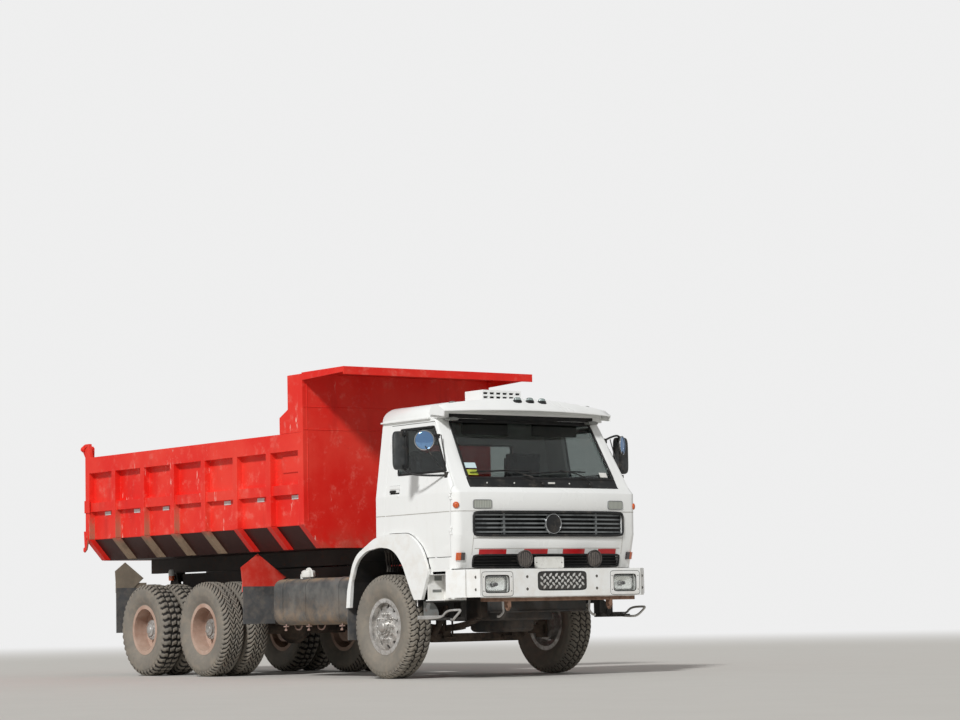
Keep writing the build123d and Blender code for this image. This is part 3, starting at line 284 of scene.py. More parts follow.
bedLook = look("paint", "body_red", "e8241a", "ef4334", deep="b31612", bare="f2bdb0", rust="4c211a",
               dust="9b7560", mottle="f37f70", rear="a3876c", patch=0.9, streak=3.2, run=(1.0, 1.0, 0.22),
               streaks=0.4, scrape=15.0, scrapes=0.9, chips=0.8, soil=(1.33, 1.65), soils=0.4, film=0.1,
               rough=0.5, shine=0.3)
looks = {
    "bedRed": bedLook,
    # The bed's underside: the bed's paint, with painted shade on faces turned downwards
    "bedUnder": {**bedLook, "under": "2b1714"},
    "hoistRed": {**bedLook, "soil": (0.8, 1.6), "base": "7e1a18", "worn": "6d1714"},
    "cabWhite": look("paint", "cab_white", "f7f8f6", "f3f4f2", deep="e3e1da", bare="dcdad2", rust="8a5a3c",
                     dust="cfc4b4", patch=0.7, streak=4.0, run=(1.0, 1.0, 0.18), streaks=0.3, scrape=22.0,
                     scrapes=0.2, chips=0.3, soil=(0.75, 1.3), soils=0.35, rough=0.3, coat=0.3, film=0.08,
                     dent=0.08),
    "chassis": look("steel", "chassis", "2c2725", "3d3632", rough=0.75, rusts=0.45, soils=0.55),
    "axle": look("steel", "axles", "2f2c2a", "46403a", rough=0.8, rusts=0.5, soils=0.75),
    "engine": look("steel", "engine", "3a3d3e", "2b2a29", rough=0.7, rusts=0.3, soils=0.5),
    "radiator": look("steel", "engine", "1f2021", "2f2f2e", rough=0.7, rusts=0.15),
    "tank": look("steel", "tank", "4a4b4b", "6b6a67", rough=0.6, rusts=0.15, rust="8a7058", soil=(0.5, 0.95),
                 soils=0.95, dust="96816a", patch=5.0),
    "exhaust": look("steel", "chassis", "6b4c3a", "4a3a32", rough=0.8, rusts=0.8, rust="7d4526"),
    "rimSilver": look("steel", "wheel_silver", "dcdad6", "a9a5a0", rough=0.34, metal=0.6, rusts=0.35,
                      rust="6f665d", soils=0.25, spot=22.0, soil=(0.2, 0.6), patch=14.0),
    "rimTan": look("steel", "wheel_silver", "c2a898", "a98877", rough=0.7, rusts=0.3, rust="8a5c48",
                   soil=(0.2, 0.9), soils=0.5, dust="c0a896", spot=7.0),
    "hubSilver": look("steel", "wheel_silver", "cfcecb", "99958f", rough=0.38, metal=0.55, rusts=0.2,
                      soils=0.4, spot=26.0),
    "rodChrome": look("steel", "rod_chrome", "c4c6c8", "a5a6a6", rough=0.16, metal=1.0, rusts=0.05,
                      soils=0.15),
    "boltSteel": look("steel", "chassis", "77736d", "4e4a46", rough=0.55, metal=0.6, rusts=0.4),
    "pinkMetal": look("steel", "tank", "c9aca2", "a58479", rough=0.6, rusts=0.3, metal=0.3),
    "darkSteel": look("steel", "step_metal", "3b3a38", "545250", rough=0.6, metal=0.4),
    "plateGrey": look("steel", "step_metal", "6c6f6e", "878986", rough=0.6, soils=0.4),
    "silverPipe": look("steel", "step_metal", "d9d9d7", "a5a19b", rough=0.3, metal=0.6, rusts=0.15,
                       soils=0.2),
    "treadSteel": look("steel", "step_metal", "e2e2df", "c4c3bf", rough=0.35, metal=0.35, rusts=0.05,
                       soils=0.45, dust="77695c", soil=(0.8, 1.1)),
    "hose": look("rubber", "black_plastic", "1a1a1b", "2c2b2a", soils=0.5, dust="7a6e62"),
    "tyre": look("rubber", "tyre", "78736b", "857f75", soils=0.5, dust="988d7e"),
    "flap": look("rubber", "black_plastic", "4a4b4c", "606162", soils=0.5, dust="857d73"),
    "gasket": look("rubber", "black_plastic", "121213", "1d1d1e", soils=0.15, dust="55504a"),
    "blackPlastic": look("plastic", "black_plastic", "131415", "202122", rough=0.5),
    "mirrorShell": look("plastic", "black_plastic", "2a2c2d", "46494a", rough=0.45, soils=0.35),
    "greyPlastic": look("plastic", "trim_plastic", "8d8f8f", "7a7c7b", rough=0.5),
    "cabTrim": look("plastic", "trim_plastic", "33312f", "403d3a", rough=0.65),
    "whitePlate": look("plastic", "trim_plastic", "e9e9e4", "dcdbd4", rough=0.4, soils=0.3),
    "labelBlue": look("plastic", "trim_plastic", "cfe3e6", "a9cfd6", rough=0.4),
    "labelGreen": look("plastic", "trim_plastic", "c3cb4e", "8ea33c", rough=0.4),
    # Grey for seams, which are dark joints, and painted shade along creases
    "seamGrey": look("plastic", "cab_white", "b9b7b0", "a19e96", rough=0.6),
    "fogRim": look("plastic", "rod_chrome", "3a3532", "5b5450", rough=0.3),
    "tapeRed": look("plastic", "lamp_glass", "c0161d", "a81319", rough=0.35, soils=0.2),
    "tapeWhite": look("plastic", "lamp_glass", "dfe0de", "cfd0cd", rough=0.35, soils=0.2),
    "lampClear": look("lens", "lamp_glass", "b7bab0", "8d9189", pitch=330.0),
    "fogDark": look("lens", "lamp_glass", "5f5650", "2a2624", pitch=260.0),
    "amber": look("lens", "lamp_glass", "e0661c", "b8430f"),
    "redLens": look("lens", "lamp_glass", "b8141a", "8c0e12"),
    "whiteLens": look("lens", "lamp_glass", "b9c6c4", "5c6a68"),
    "greyLens": look("lens", "lamp_glass", "8e908c", "6c6e6b"),
    "smokeLens": look("lens", "lamp_glass", "4c464a", "2f2a2d"),
    "lampGlass": look("glass", "lamp_glass", "fbfcfb", "b9b6ae", film=0.06),
    "pane": look("glass", "glass", "a3aaa8", "b9b6ae", film=0.12),
    "bowlSilver": look("mirror", "rod_chrome", "f2f4f1", "b9bdb9", rough=0.16, dent=0.2),
    "mirrorGlass": look("mirror", "glass", "8fb8ea", "4f7fbe", rough=0.1),
    "chrome": look("mirror", "rod_chrome", "d7d9da", "a6a7a6", rough=0.12, dent=0.1),
    "seatCloth": look("cloth", "seat_cloth", "3c3f45", "51545a", stitch=16.0),
    "fenderPaint": painted(("f4f5f3", "eceae5"), ("141414", "26221e"), (0.35, 0.8),
                           lambda f: 1 - f.y.size().band(1.157, 1.159)),
    "grillePaint": painted(("0c0d0e", "17181a"), ("85898a", "5d6162"), (0.6, 0.4),
                           lambda f: ahead(f, 1.3035, 1.3045), (0.0, 0.4)),
    "bumperPaint": painted(("f5f6f4", "edebe6"), ("8a6b58", "664a3a"), (0.32, 0.85),
                           lambda f: 1 - (f.z + f.noise(6.0) * 0.016).band(0.806, 0.818)),
    "guardPaint": painted(("e63a2d", "ec5e50"), ("857a6b", "978a79"), (0.5, 0.85),
                          lambda f: 1 - ahead(f, -4.3, -4.2)),
    "stepPaint": painted(("eeeeeb", "dddad3"), ("201e1c", "37332f"), (0.4, 0.75),
                         lambda f: 1 - f.z.band(0.785, 0.79)),
    "ribPaint": painted(("e8241a", "d83a2e"), ("98826c", "7d6855"), (0.5, 0.85), lambda f: (
        (1 - ahead(f, -3.2, -3.1)) * ahead(f, -6.1, -6.0) * (1 - f.z.band(1.56, 1.75)))),
}
makers = {"paint": paintFinish, "steel": steelFinish, "rubber": rubberFinish, "plastic": plasticFinish,
          "lens": lensFinish, "glass": glassFinish, "mirror": mirrorFinish, "cloth": clothFinish,
          "two": twoTone}
finishes = {name: makers[row["kind"]](name, row) for name, row in looks.items()}
print("finishes:", len(finishes))


# Mesh helpers. A part is its points and a list of face arrays; closed parts are turned to face outwards.

def outward(points, faces):
    # Six times the volume is a sum over fans of triangles; where it is negative the faces turn round
    total = 0.0
    for group in faces:
        first = points[group[:, 0]]
        for k in range(1, group.shape[1] - 1):
            total += np.sum(first * np.cross(points[group[:, k]], points[group[:, k + 1]]))
    return faces if total > 0 else [group[:, ::-1] for group in faces]


def gather(parts):
    # Parts put end to end in one list of points and faces
    points, faces, start = [], [], 0
    for spots, groups in parts:
        for group in outward(spots, groups):
            faces += (group + start).tolist()
        points.append(spots)
        start += len(spots)
    return np.concatenate(points), faces


def roundEdges(thing, width, angle):
    edge = thing.modifiers.new("edge", "BEVEL")
    edge.width, edge.segments, edge.angle_limit, edge.harden_normals = width, 2, angle, True


def piece(name, parts, finish, bevel=0.0, body="root"):
    points, faces = gather(parts if isinstance(parts, list) else [parts])
    mesh = bpy.data.meshes.new(name)
    mesh.from_pydata((points + (frontAxle, 0, 0)).tolist(), [], faces)
    mesh.shade_smooth()
    mesh.set_sharp_from_angle(angle=0.7)
    made = bpy.data.objects.new(name, mesh)
    scene.collection.objects.link(made)
    mesh.materials.append(finishes[finish])
    if bevel:
        roundEdges(made, bevel, 0.6)
    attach(made, body)
    return made


def quads(index):
    return np.stack([index[:-1, :-1], index[1:, :-1], index[1:, 1:], index[:-1, 1:]], -1).reshape(-1, 4)


def around(rowCount, colCount, ring=False):
    # Quads of a grid whose columns close on themselves, and its rows too for a ring; else two end faces
    index = np.arange(rowCount * colCount).reshape(rowCount, colCount)
    whole = np.concatenate([index, index[:, :1]], 1)
    if ring:
        return [quads(np.concatenate([whole, whole[:1]], 0))]
    return [quads(whole), index[:1], index[-1:, ::-1]]


def lathe(outline, centre=(0, 0, 0), axis="x", sides=24, ring=False):
    # Each row's radius and offset turned about an axis through the centre
    outline = np.asarray(outline, float)
    angle = np.arange(sides) * turn / sides
    offset = outline[:, 1, None] + 0 * angle
    flat, tall = outline[:, 0, None] * np.cos(angle), outline[:, 0, None] * np.sin(angle)
    order = {"x": (offset, flat, tall), "y": (flat, offset, tall), "z": (flat, tall, offset)}[axis]
    return np.stack(order, -1).reshape(-1, 3) + centre, around(len(outline), sides, ring)


def unit(vectors):
    return vectors / np.linalg.norm(vectors, axis=1)[:, None]


def tube(path, size, up="z", sides=10, loop=False):
    # An oval carried along a path, square to the run at each point, its second half size nearest up
    path = np.asarray(path, float)
    up = np.eye(3)["xyz".index(up)] if isinstance(up, str) else up
    run = unit(np.roll(path, -1, 0) - np.roll(path, 1, 0) if loop else np.gradient(path, axis=0))
    side = unit(np.cross(run, up))
    over = np.cross(side, run)
    wide, tall = np.broadcast_to(size, (len(path), 2)).T
    angle = (np.arange(sides) + 0.5) * turn / sides
    spots = path[:, None] + side[:, None] * (np.cos(angle) * wide[:, None])[..., None]
    spots = spots + over[:, None] * (np.sin(angle) * tall[:, None])[..., None]
    return spots.reshape(-1, 3), around(len(path), sides, loop)


def seam(points, up, size=(0.003, 0.0015)):
    return tube(points, size, up, 6)


def soften(points, times=2, loop=False):
    # Corner cutting: every run keeps the two points a quarter in from its ends
    points = np.asarray(points, float)
    for _ in range(times):
        after = np.roll(points, -1, 0) if loop else points[1:]
        before = points if loop else points[:-1]
        cut = np.stack([0.75 * before + 0.25 * after, 0.25 * before + 0.75 * after], 1)
        cut = cut.reshape(-1, points.shape[1])
        points = cut if loop else np.concatenate([points[:1], cut, points[-1:]])
    return points


def bent(points, size, up="y", sides=10, times=2):
    # Tube along a run whose bends are softened
    return tube(soften(points, times), size, up, sides)


def rounded(points, reach):
    # Closed outline whose corners are cut back by reach and softened
    points = np.asarray(points, float)
    back, ahead = [unit(np.roll(points, step, 0) - points) * reach for step in (1, -1)]
    corner = np.stack([points + back, points + back * 0.5, points, points + ahead * 0.5, points + ahead], 1)
    return soften(corner.reshape(-1, points.shape[1]), 3, True)


def divide(points, count, loop=False):
    # Points at even steps along a run of straight stretches
    points = np.asarray(points, float)
    if loop:
        points = np.concatenate([points, points[:1]])
    far = np.concatenate([[0], np.cumsum(np.linalg.norm(np.diff(points, axis=0), axis=1))])
    steps = np.linspace(0, far[-1], count + 1)[:-1] if loop else np.linspace(0, far[-1], count)
    return np.stack([np.interp(steps, far, points[:, k]) for k in range(points.shape[1])], 1)


def block(x, y, z):
    # The eight corners of a box and its six faces
    corner = np.array([(a, b, c) for a in sorted(x) for b in sorted(y) for c in sorted(z)], float)
    faces = [(0, 1, 3, 2), (4, 6, 7, 5), (0, 4, 5, 1), (2, 3, 7, 6), (0, 2, 6, 4), (1, 5, 7, 3)]
    return corner, [np.array(faces)]


def blocks(boxes):
    return [block(*box) for box in boxes]


def lift(outline, level, axis="x"):
    # An outline's points, given by their two other coordinates in order, at a level along the axis
    return np.insert(np.asarray(outline, float), "xyz".index(axis), level, axis=1)


def ringPlate(outer, inner, low, high):
    # Flat ring between two outlines of as many points, from low to high along x
    spots = [lift(edge, level) for edge, level in ((outer, low), (outer, high), (inner, high), (inner, low))]
    return np.concatenate(spots), around(4, len(outer), ring=True)


def softBox(middle, half, corner, count=48):
    # Outline of a rectangle whose corners are a power curve: 2 is an ellipse, more is squarer
    angle = np.arange(count) * turn / count
    c, s = np.cos(angle), np.sin(angle)
    return np.stack([middle[0] + half[0] * np.sign(c) * np.abs(c) ** (2 / corner),
                     middle[1] + half[1] * np.sign(s) * np.abs(s) ** (2 / corner)], 1)


def dome(outline, middle, rows, axis="x", ring=False):
    # Closed form from one outline drawn in towards its middle: each row's scale and level along the axis
    outline, middle = np.asarray(outline, float), np.asarray(middle, float)
    spots = [lift(middle + (outline - middle) * scale, level, axis) for scale, level in rows]
    return np.concatenate(spots), around(len(rows), len(outline), ring)


def prism(outline, low, high):
    # An outline of x and z carried along y
    index = np.arange(len(outline))
    after, count = np.roll(index, -1), len(outline)
    side = np.stack([index, after, after + count, index + count], 1)
    spots = np.concatenate([lift(outline, low, "y"), lift(outline, high, "y")])
    return spots, [side, index[None, ::-1], index[None] + count]


def pillow(middle, half, corner, count, rows, axis="x", ring=False):
    # Dome over a soft box
    return dome(softBox(middle, half, corner, count), middle, rows, axis, ring)


def skin(top, depth):
    # Closed shell between a grid of points and the same grid moved by depth
    rowCount, colCount = top.shape[:2]
    count = rowCount * colCount
    index = np.arange(count).reshape(rowCount, colCount)
    rim = np.concatenate([index[:, 0], index[-1, 1:], index[-2::-1, -1], index[0, -2:0:-1]])
    after = np.roll(rim, -1)
    side = np.stack([after, rim, rim + count, after + count], 1)
    spots = np.concatenate([top.reshape(-1, 3), (top + depth).reshape(-1, 3)])
    return spots, [quads(index), quads(index)[:, ::-1] + count, side]


def scatter(part, places):
    # Copies of a part moved to each place
    spots, faces = part
    places = np.asarray(places, float)
    start = (np.arange(len(places)) * len(spots))[:, None, None]
    many = (spots[None] + places[:, None]).reshape(-1, 3)
    return many, [(group[None] + start).reshape(-1, group.shape[1]) for group in outward(spots, faces)]


def mirrored(part):
    # The part's image on the truck's other side
    spots, faces = part
    return spots * (1, -1, 1), [group[:, ::-1] for group in faces]


def both(parts):
    return parts + [mirrored(part) for part in parts]


def hexBolt(across, high, sign=1):
    # Six-sided head with a chamfered crown, standing along y
    wide = across / 2
    return lathe([(wide, 0), (wide, sign * high * 0.75), (wide * 0.8, sign * high)], axis="y", sides=6)


# The cab's outside, as part.py draws it: nose, sweep to the corner, half width and corner radius by height

cabRows = np.array([
    (1.1, 1.315, 0.075, 1.15, 0.09), (1.431, 1.385, 0.075, 1.163, 0.09), (1.86, 1.39, 0.075, 1.16, 0.08),
    (1.93, 1.324, 0.085, 1.15, 0.055), (2.632, 0.905, 0.07, 1.055, 0.035),
])


def cabRow(z):
    return [np.interp(z, cabRows[:, 0], cabRows[:, k]) for k in (1, 2, 3, 4)]


def noseAt(y, z):
    # Front surface: an arc through the nose and both corners at each height
    nose, sweep, half, corner = cabRow(z)
    edge = half - corner
    radius = (edge ** 2 + sweep ** 2) / (2 * sweep)
    return nose - radius + np.sqrt(np.maximum(radius ** 2 - np.asarray(y) ** 2, 0))


def onNose(outline, out=0.0):
    # Points of a y, z outline set on the front surface, standing out from it
    outline = np.asarray(outline, float)
    return lift(outline, noseAt(outline[:, 0], outline[:, 1]) + out)


def noseSheet(y, z, out, cols, rowCount=0):
    # Grid over part of the front surface; z holds its two edges, or every level where no count is given
    across, up = np.meshgrid(np.linspace(*y, cols), np.linspace(*z, rowCount) if rowCount else z)
    return np.stack([noseAt(across, up) + out, across, up], -1)


def cabFront(z, out):
    # Plan line of the cab's front at one height: both rounded corners and the nose between them
    nose, sweep, half, radius = cabRow(z)
    edge, reach = half - radius, radius + out
    angle = np.linspace(0, np.pi / 2, 9)
    bend = np.stack([nose - sweep - radius + reach * np.sin(angle), -(edge + reach * np.cos(angle))], 1)
    y = np.linspace(-edge, edge, 41)[1:-1]
    line = np.concatenate([bend, np.stack([noseAt(y, z) + out, y], 1), bend[::-1] * (1, -1)])
    return np.column_stack([line, np.full(len(line), z)])


def cornerPoint(z, angle, out):
    # A point of the right front corner at an angle from straight sideways
    nose, sweep, half, radius = cabRow(z)
    reach = radius + out
    return np.array((nose - sweep - radius + reach * np.sin(angle), radius - half - reach * np.cos(angle), z))


def alongFront(start, end, low, high, out):
    # Grid round the right front corner between two distances from where the corner starts
    grid, steps = [], np.linspace(start, end, 9)
    for z in np.linspace(low, high, 5):
        line = cabFront(z, out)
        far = np.concatenate([[0], np.cumsum(np.linalg.norm(np.diff(line, axis=0), axis=1))])
        grid.append(np.stack([np.interp(steps, far, line[:, k]) for k in range(3)], 1))
    return np.stack(grid)


# CAD nodes that keep their shape, by finish and the width of their worn edges

kept = {
    ("chassis", 0.004): "chassis_rails cross_members",
    ("chassis", 0.0): "hoist_subframe battery_box air_tanks bed_bearers",
    ("axle", 0.0): "front_axle_beam leaf_springs rear_axles knuckle_left knuckle_right",
    ("engine", 0.02): "engine", ("radiator", 0.008): "radiator", ("tank", 0.0): "fuel_tank",
    ("exhaust", 0.0): "exhaust", ("cabWhite", 0.01): "cab_roof", ("cabWhite", 0.006): "cab_shell cab_back",
    ("cabWhite", 0.004): "sun_visor", ("cabWhite", 0.003): "door_left door_right",
    ("fenderPaint", 0.004): "front_fenders", ("bumperPaint", 0.008): "bumper",
    ("grillePaint", 0.0): "grilles",
    ("stepPaint", 0.004): "cab_steps", ("guardPaint", 0.0): "guard_plates", ("flap", 0.0): "mud_flaps",
    ("cabTrim", 0.008): "cab_floor", ("cabTrim", 0.02): "dashboard", ("cabTrim", 0.0): "seats",
    ("blackPlastic", 0.0): "steering_wheel air_intake lamps mirrors_left mirrors_right",
    ("pane", 0.0): "cab_windows door_glass_left door_glass_right",
    # The bed floor carries painted shade on its downward faces
    ("bedUnder", 0.003): "bed_floor", ("bedRed", 0.006): "bed_sides tailgate",
    ("bedRed", 0.004): "bed_headboard bed_canopy", ("ribPaint", 0.006): "bed_lower_ribs",
    ("hoistRed", 0.0): "hoist_barrel", ("rodChrome", 0.0): "hoist_rod",
    ("rimSilver", 0.0): "rim_front_left rim_front_right",
    ("rimTan", 0.0): "rims_middle_left rims_middle_right rims_rear_left rims_rear_right",
    ("tyre", 0.0): "tyre_front_left tyre_front_right tyres_middle_left tyres_middle_right tyres_rear_left "
                   "tyres_rear_right",
}
for (finish, width), names in kept.items():
    for name in names.split():
        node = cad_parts[name]
        node.data.materials.clear()
        node.data.materials.append(finishes[finish])
        if width:
            weld = node.modifiers.new("weld", "WELD")
            weld.merge_threshold = 0.0002
            roundEdges(node, width, 0.5)
print("kept nodes:", sum(len(names.split()) for names in kept.values()))


# Tyres: a sidewall and tread outline turned about the axle, with grooves cut by a depth over both directions

tyreLook = {
    "radius": 0.535, "depth": 0.016, "crown": 0.005, "treadHalf": 0.106, "treadRows": 31, "laneSway": 0.07,
    "wall": [(0.5, 0.1275), (0.488, 0.1315), (0.47, 0.1345), (0.466, 0.1375), (0.44, 0.139), (0.405, 0.139),
             (0.37, 0.1365), (0.366, 0.134), (0.345, 0.13), (0.32, 0.119), (0.302, 0.106), (0.299, 0.1035),
             (0.292, 0.1035), (0.262, 0.094)],
    "front": {"pitches": 56, "steps": 7, "zigzag": 0.3, "cross": 0.1, "lanes": (-0.36, 0.36), "wide": 0.075,
              "lane": 0.8},
    "middle": {"pitches": 56, "steps": 7, "zigzag": 0.55, "cross": 0.15, "lanes": (-0.02,), "wide": 0.06,
               "lane": 0.7},
    "rear": {"pitches": 42, "steps": 9, "zigzag": 0.1, "cross": 0.19, "lanes": (-0.36, 0.36), "wide": 0.085,
             "lane": 0.9},
}
# Each axle's place from the front one, its tyres' offsets, its tyre node and its body
wheels = {
    "front": (0.0, (1.041,), "tyre_front_", "wheel_front_"),
    "middle": (-3.557, (1.107, 0.787), "tyres_middle_", "wheels_middle_"),
    "rear": (-4.917, (1.107, 0.787), "tyres_rear_", "wheels_rear_"),
}


def sway(value):
    # Zigzag between -1 and 1 with a period of 1
    return 4 * np.abs(value - np.floor(value + 0.5)) - 1


def tyreParts(centre, side, groove):
    # Radius and offset of the outline, less a groove depth that depends on the place across and around
    look = tyreLook
    count = groove["pitches"] * groove["steps"]
    share = np.linspace(-1, 1, look["treadRows"])
    shoulder = np.clip((np.abs(share) - 0.86) / 0.14, 0, 1) ** 2
    tread = np.stack([look["radius"] - look["crown"] * share ** 2 - 0.02 * shoulder,
                      share * look["treadHalf"] + np.sign(share) * 0.01 * shoulder], 1)
    wall, fade = np.array(look["wall"]), np.array((0.85, 0.6, 0.25))
    outline = np.concatenate([wall[::-1] * (1, -1), tread, wall])
    reach = np.concatenate([np.full(len(wall), -1.3), share, np.full(len(wall), 1.3)])
    smooth = np.zeros(len(wall) - len(fade))
    blocky = np.concatenate([smooth, fade[::-1], np.ones(len(share)), fade, smooth])
    angle = np.arange(count) * turn / count
    phase = angle[None] * groove["pitches"] / turn + groove["zigzag"] * sway(reach[:, None] * 1.25 + 0.25)
    across = phase - np.floor(phase)
    cut = np.clip(1.6 - np.abs(across - 0.5) / groove["cross"], 0, 1)
    for lane in groove["lanes"]:
        off = np.abs(reach[:, None] - lane - look["laneSway"] * sway(phase * 0.5))
        cut = np.maximum(cut, np.clip(1.5 - off / groove["wide"], 0, 1) * groove["lane"])
    cut = cut * blocky[:, None]
    deep, onWall = cut * look["depth"], (np.abs(reach) > 1.2)[:, None]
    radius = outline[:, 0, None] - deep * np.where(onWall, 0.35, 1.0)
    offset = outline[:, 1, None] - np.sign(reach)[:, None] * deep * onWall * 0.7
    spots = np.stack([radius * np.cos(angle), offset * side, radius * np.sin(angle)], -1).reshape(-1, 3)
    return (spots + centre, around(len(outline), count, ring=True)), cut.ravel()


for place, (x, offsets, node, body) in wheels.items():
    for side, word in hands:
        made = [tyreParts((x, side * y, tyreLook["radius"]), side, tyreLook[place]) for y in offsets]
        tread = piece("tread_" + place + "_" + word, [part for part, cut in made], "tyre", body=body + word)
        # The groove attribute carries the painted shade down in the grooves
        groove = tread.data.attributes.new("groove", "FLOAT", "POINT")
        groove.data.foreach_set("value", np.concatenate([cut for part, cut in made]).astype(np.float32))
        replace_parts(tread, node + word)
print("tyres")


# Wheel nuts, hub caps, small bolts and valves

twinHub = {
    "face": -0.146, "bolts": (0.092, 10, 0.3), "level": 0.015,
    "cap": [(0.116, -0.06), (0.116, 0.01), (0.106, 0.016), (0.074, 0.018), (0.072, 0.036), (0.045, 0.044),
            (0.04, 0.052), (0.0, 0.054)],
}
hubLook = {
    "nut": [(0.02, 0), (0.02, 0.006), (0.0155, 0.007), (0.0155, 0.024), (0.012, 0.028), (0.009, 0.029),
            (0.009, 0.036)], "nuts": (0.134, 10, 0.0), "middle": twinHub, "rear": twinHub,
    "front": {"face": 0.088, "bolts": (0.084, 8, 0.3), "level": 0.111,
              "cap": [(0.058, 0.132), (0.058, 0.146), (0.05, 0.158), (0.03, 0.166), (0.0, 0.168)]},
    "valve": [(0.17, -0.004, 0.6), (0.19, 0.02, 0.61), (0.2, 0.05, 0.615)],
}


def ringOf(part, x, y, circle):
    # Copies of a part round the wheel's axle, from a radius, a count and the first one's angle
    radius, count, start = circle
    angle = start + np.arange(count) * turn / count
    spots = [x + radius * np.cos(angle), np.full(count, y), tyreLook["radius"] + radius * np.sin(angle)]
    return scatter(part, np.stack(spots, 1))


for place, (x, offsets, node, body) in wheels.items():
    for side, word in hands:
        hub, y = hubLook[place], side * offsets[0]
        nut = lathe([(r, side * off) for r, off in hubLook["nut"]], axis="y", sides=6)
        cap = lathe([(r, side * off) for r, off in hub["cap"]], (x, y, tyreLook["radius"]), "y", 32)
        valve = [(x + a, side * (offsets[0] + hub["face"] + b), z) for a, b, z in hubLook["valve"]]
        parts = [ringOf(nut, x, side * (offsets[0] + hub["face"]), hubLook["nuts"]), cap,
                 ringOf(hexBolt(0.02, 0.012, side), x, side * (offsets[0] + hub["level"]), hub["bolts"]),
                 bent(valve, 0.005, "z", 8)]
        piece("hub_" + place + "_" + word, parts, "hubSilver", body=body + word)
print("hubs")


# Windscreen surround: rubber seal, black foot panel with its studs, a dark header under the visor that is
# partly a tinted band and partly painted shade from the visor, wipers

screenLook = {
    "corners": [(-0.94, 2.01), (0.94, 2.01), (0.903, 2.603), (-0.903, 2.603)], "seal": (0.014, 0.007),
    "foot": (1.915, 1.93, 1.958, 1.986, 2.014), "footHalf": 0.953, "header": (2.6, 2.63, 2.634, 2.668, 2.7),
    "headerHalf": 0.93, "studs": (-0.74, -0.417, 0.286, 0.571), "studZ": 1.958,
    "stud": [(0.009, 0), (0.009, 0.003), (0.005, 0.005)],
    "nozzle": ((1.318, 1.332), (0.0, 0.08), (1.952, 1.97)),
}
slope = (0.85, 0, 0.52)
sealLine = divide(rounded(screenLook["corners"], 0.07), 180, True)
piece("windscreenSeal", tube(onNose(sealLine, 0.004), screenLook["seal"], slope, 10, True), "gasket")
half = screenLook["footHalf"]
piece("windscreenFoot", skin(noseSheet((-half, half), screenLook["foot"], 0.004, 33), (-0.006, 0, -0.002)),
      "blackPlastic")
half = screenLook["headerHalf"]
# The header strip is a dark sheet where the visor's shade falls over the screen's top: painted shade, partly
# a tinted band
header = noseSheet((-half, half), screenLook["header"], 0.004, 33)
up = header[..., 2]
header[..., 0] = np.where(up < 2.632, header[..., 0], 0.9035 - np.maximum(up - 2.672, 0) * 0.28)
piece("windscreenHeader", skin(header, (-0.006, 0, 0)), "gasket")
studs = onNose([(y, screenLook["studZ"]) for y in screenLook["studs"]], 0.004)
piece("windscreenStuds", [scatter(lathe(screenLook["stud"], sides=10), studs), block(*screenLook["nozzle"])],
      "whitePlate", 0.002)

# Each wiper's pivot, knee, the blade's middle and its two ends, as y and z on the windscreen
wiperLook = {
    "points": [((-0.069, 1.952), (-0.3, 2.03), (-0.5, 2.078), (-0.895, 2.058), (-0.15, 2.078)),
               ((0.562, 1.952), (0.44, 2.035), (0.2, 2.074), (-0.237, 2.046), (0.56, 2.078))],
    "foot": [(0.022, -0.01), (0.022, 0.014), (0.016, 0.024), (0.006, 0.028)], "lift": (0.018, 0.04, 0.034),
}
parts = []
for pivot, knee, middle, start, end in wiperLook["points"]:
    arm = onNose(soften([pivot, knee, middle], 2))
    high = np.interp(np.arange(len(arm)), [0, len(arm) * 0.3, len(arm) - 1], wiperLook["lift"])
    parts.append(tube(arm + np.stack([high, 0 * high, high * 0.6], 1), (0.008, 0.005), slope, 8))
    blade = onNose(divide([start, middle, end], 24))
    bow = 1 - np.linspace(-1, 1, 24)[2:-2] ** 2
    parts.append(tube(blade + (0.012, 0, 0.007), (0.004, 0.009), slope, 6))
    bridge = blade[2:-2] + np.stack([0.02 + 0.012 * bow, 0 * bow, 0.012 + 0 * bow], 1)
    parts.append(tube(bridge, (0.006, 0.003), slope, 6))
    parts.append(lathe(wiperLook["foot"], (noseAt(*pivot), *pivot), sides=16))
piece("wipers", parts, "blackPlastic")


# Seams and creases of the cab as grey lines: the waist line, one beside each door, two edges and two lines on
# the nose; along a crease, as on the waist line, the grey is painted shade

seamLook = {"thin": (0.0015, 0.0035), "waist": 1.672, "edge": (0.957, 1.24, 1.428),
            "across": [(0.957, 1.402), (0.93, 1.298)]}
thin, z = seamLook["thin"], seamLook["waist"]
waist = cabFront(z, 0.001)
parts = [seam(waist, "z", thin)]
for side in (-1, 1):
    parts.append(seam([(1.238, side * 1.1635, z), (waist[0][0], side * abs(waist[0][1]), z)], "z", thin))
    parts.append(seam([(-0.105, side * 1.1625, 1.667), (0.062, side * 1.1625, 1.667)], "z", thin))
    y, low, high = seamLook["edge"]
    parts.append(seam(onNose(divide([(side * y, low), (side * y, high)], 8), 0.001), "y"))
for y, level in seamLook["across"]:
    parts.append(seam(onNose(divide([(-y, level), (y, level)], 40), 0.001), "z", (0.0015, 0.003)))
piece("cabSeams", parts, "seamGrey")
for side, word in hands:
    # The door's crease is a grey line: painted shade along the crease
    crease = [(0.078, side * 1.1625, 1.667), (0.6, side * 1.1628, 1.669), (1.205, side * 1.163, z)]
    piece("doorCrease_" + word, seam(crease, "z", thin), "seamGrey", body="door_" + word)


# Door trim: window seals, handles in their recesses, keyholes

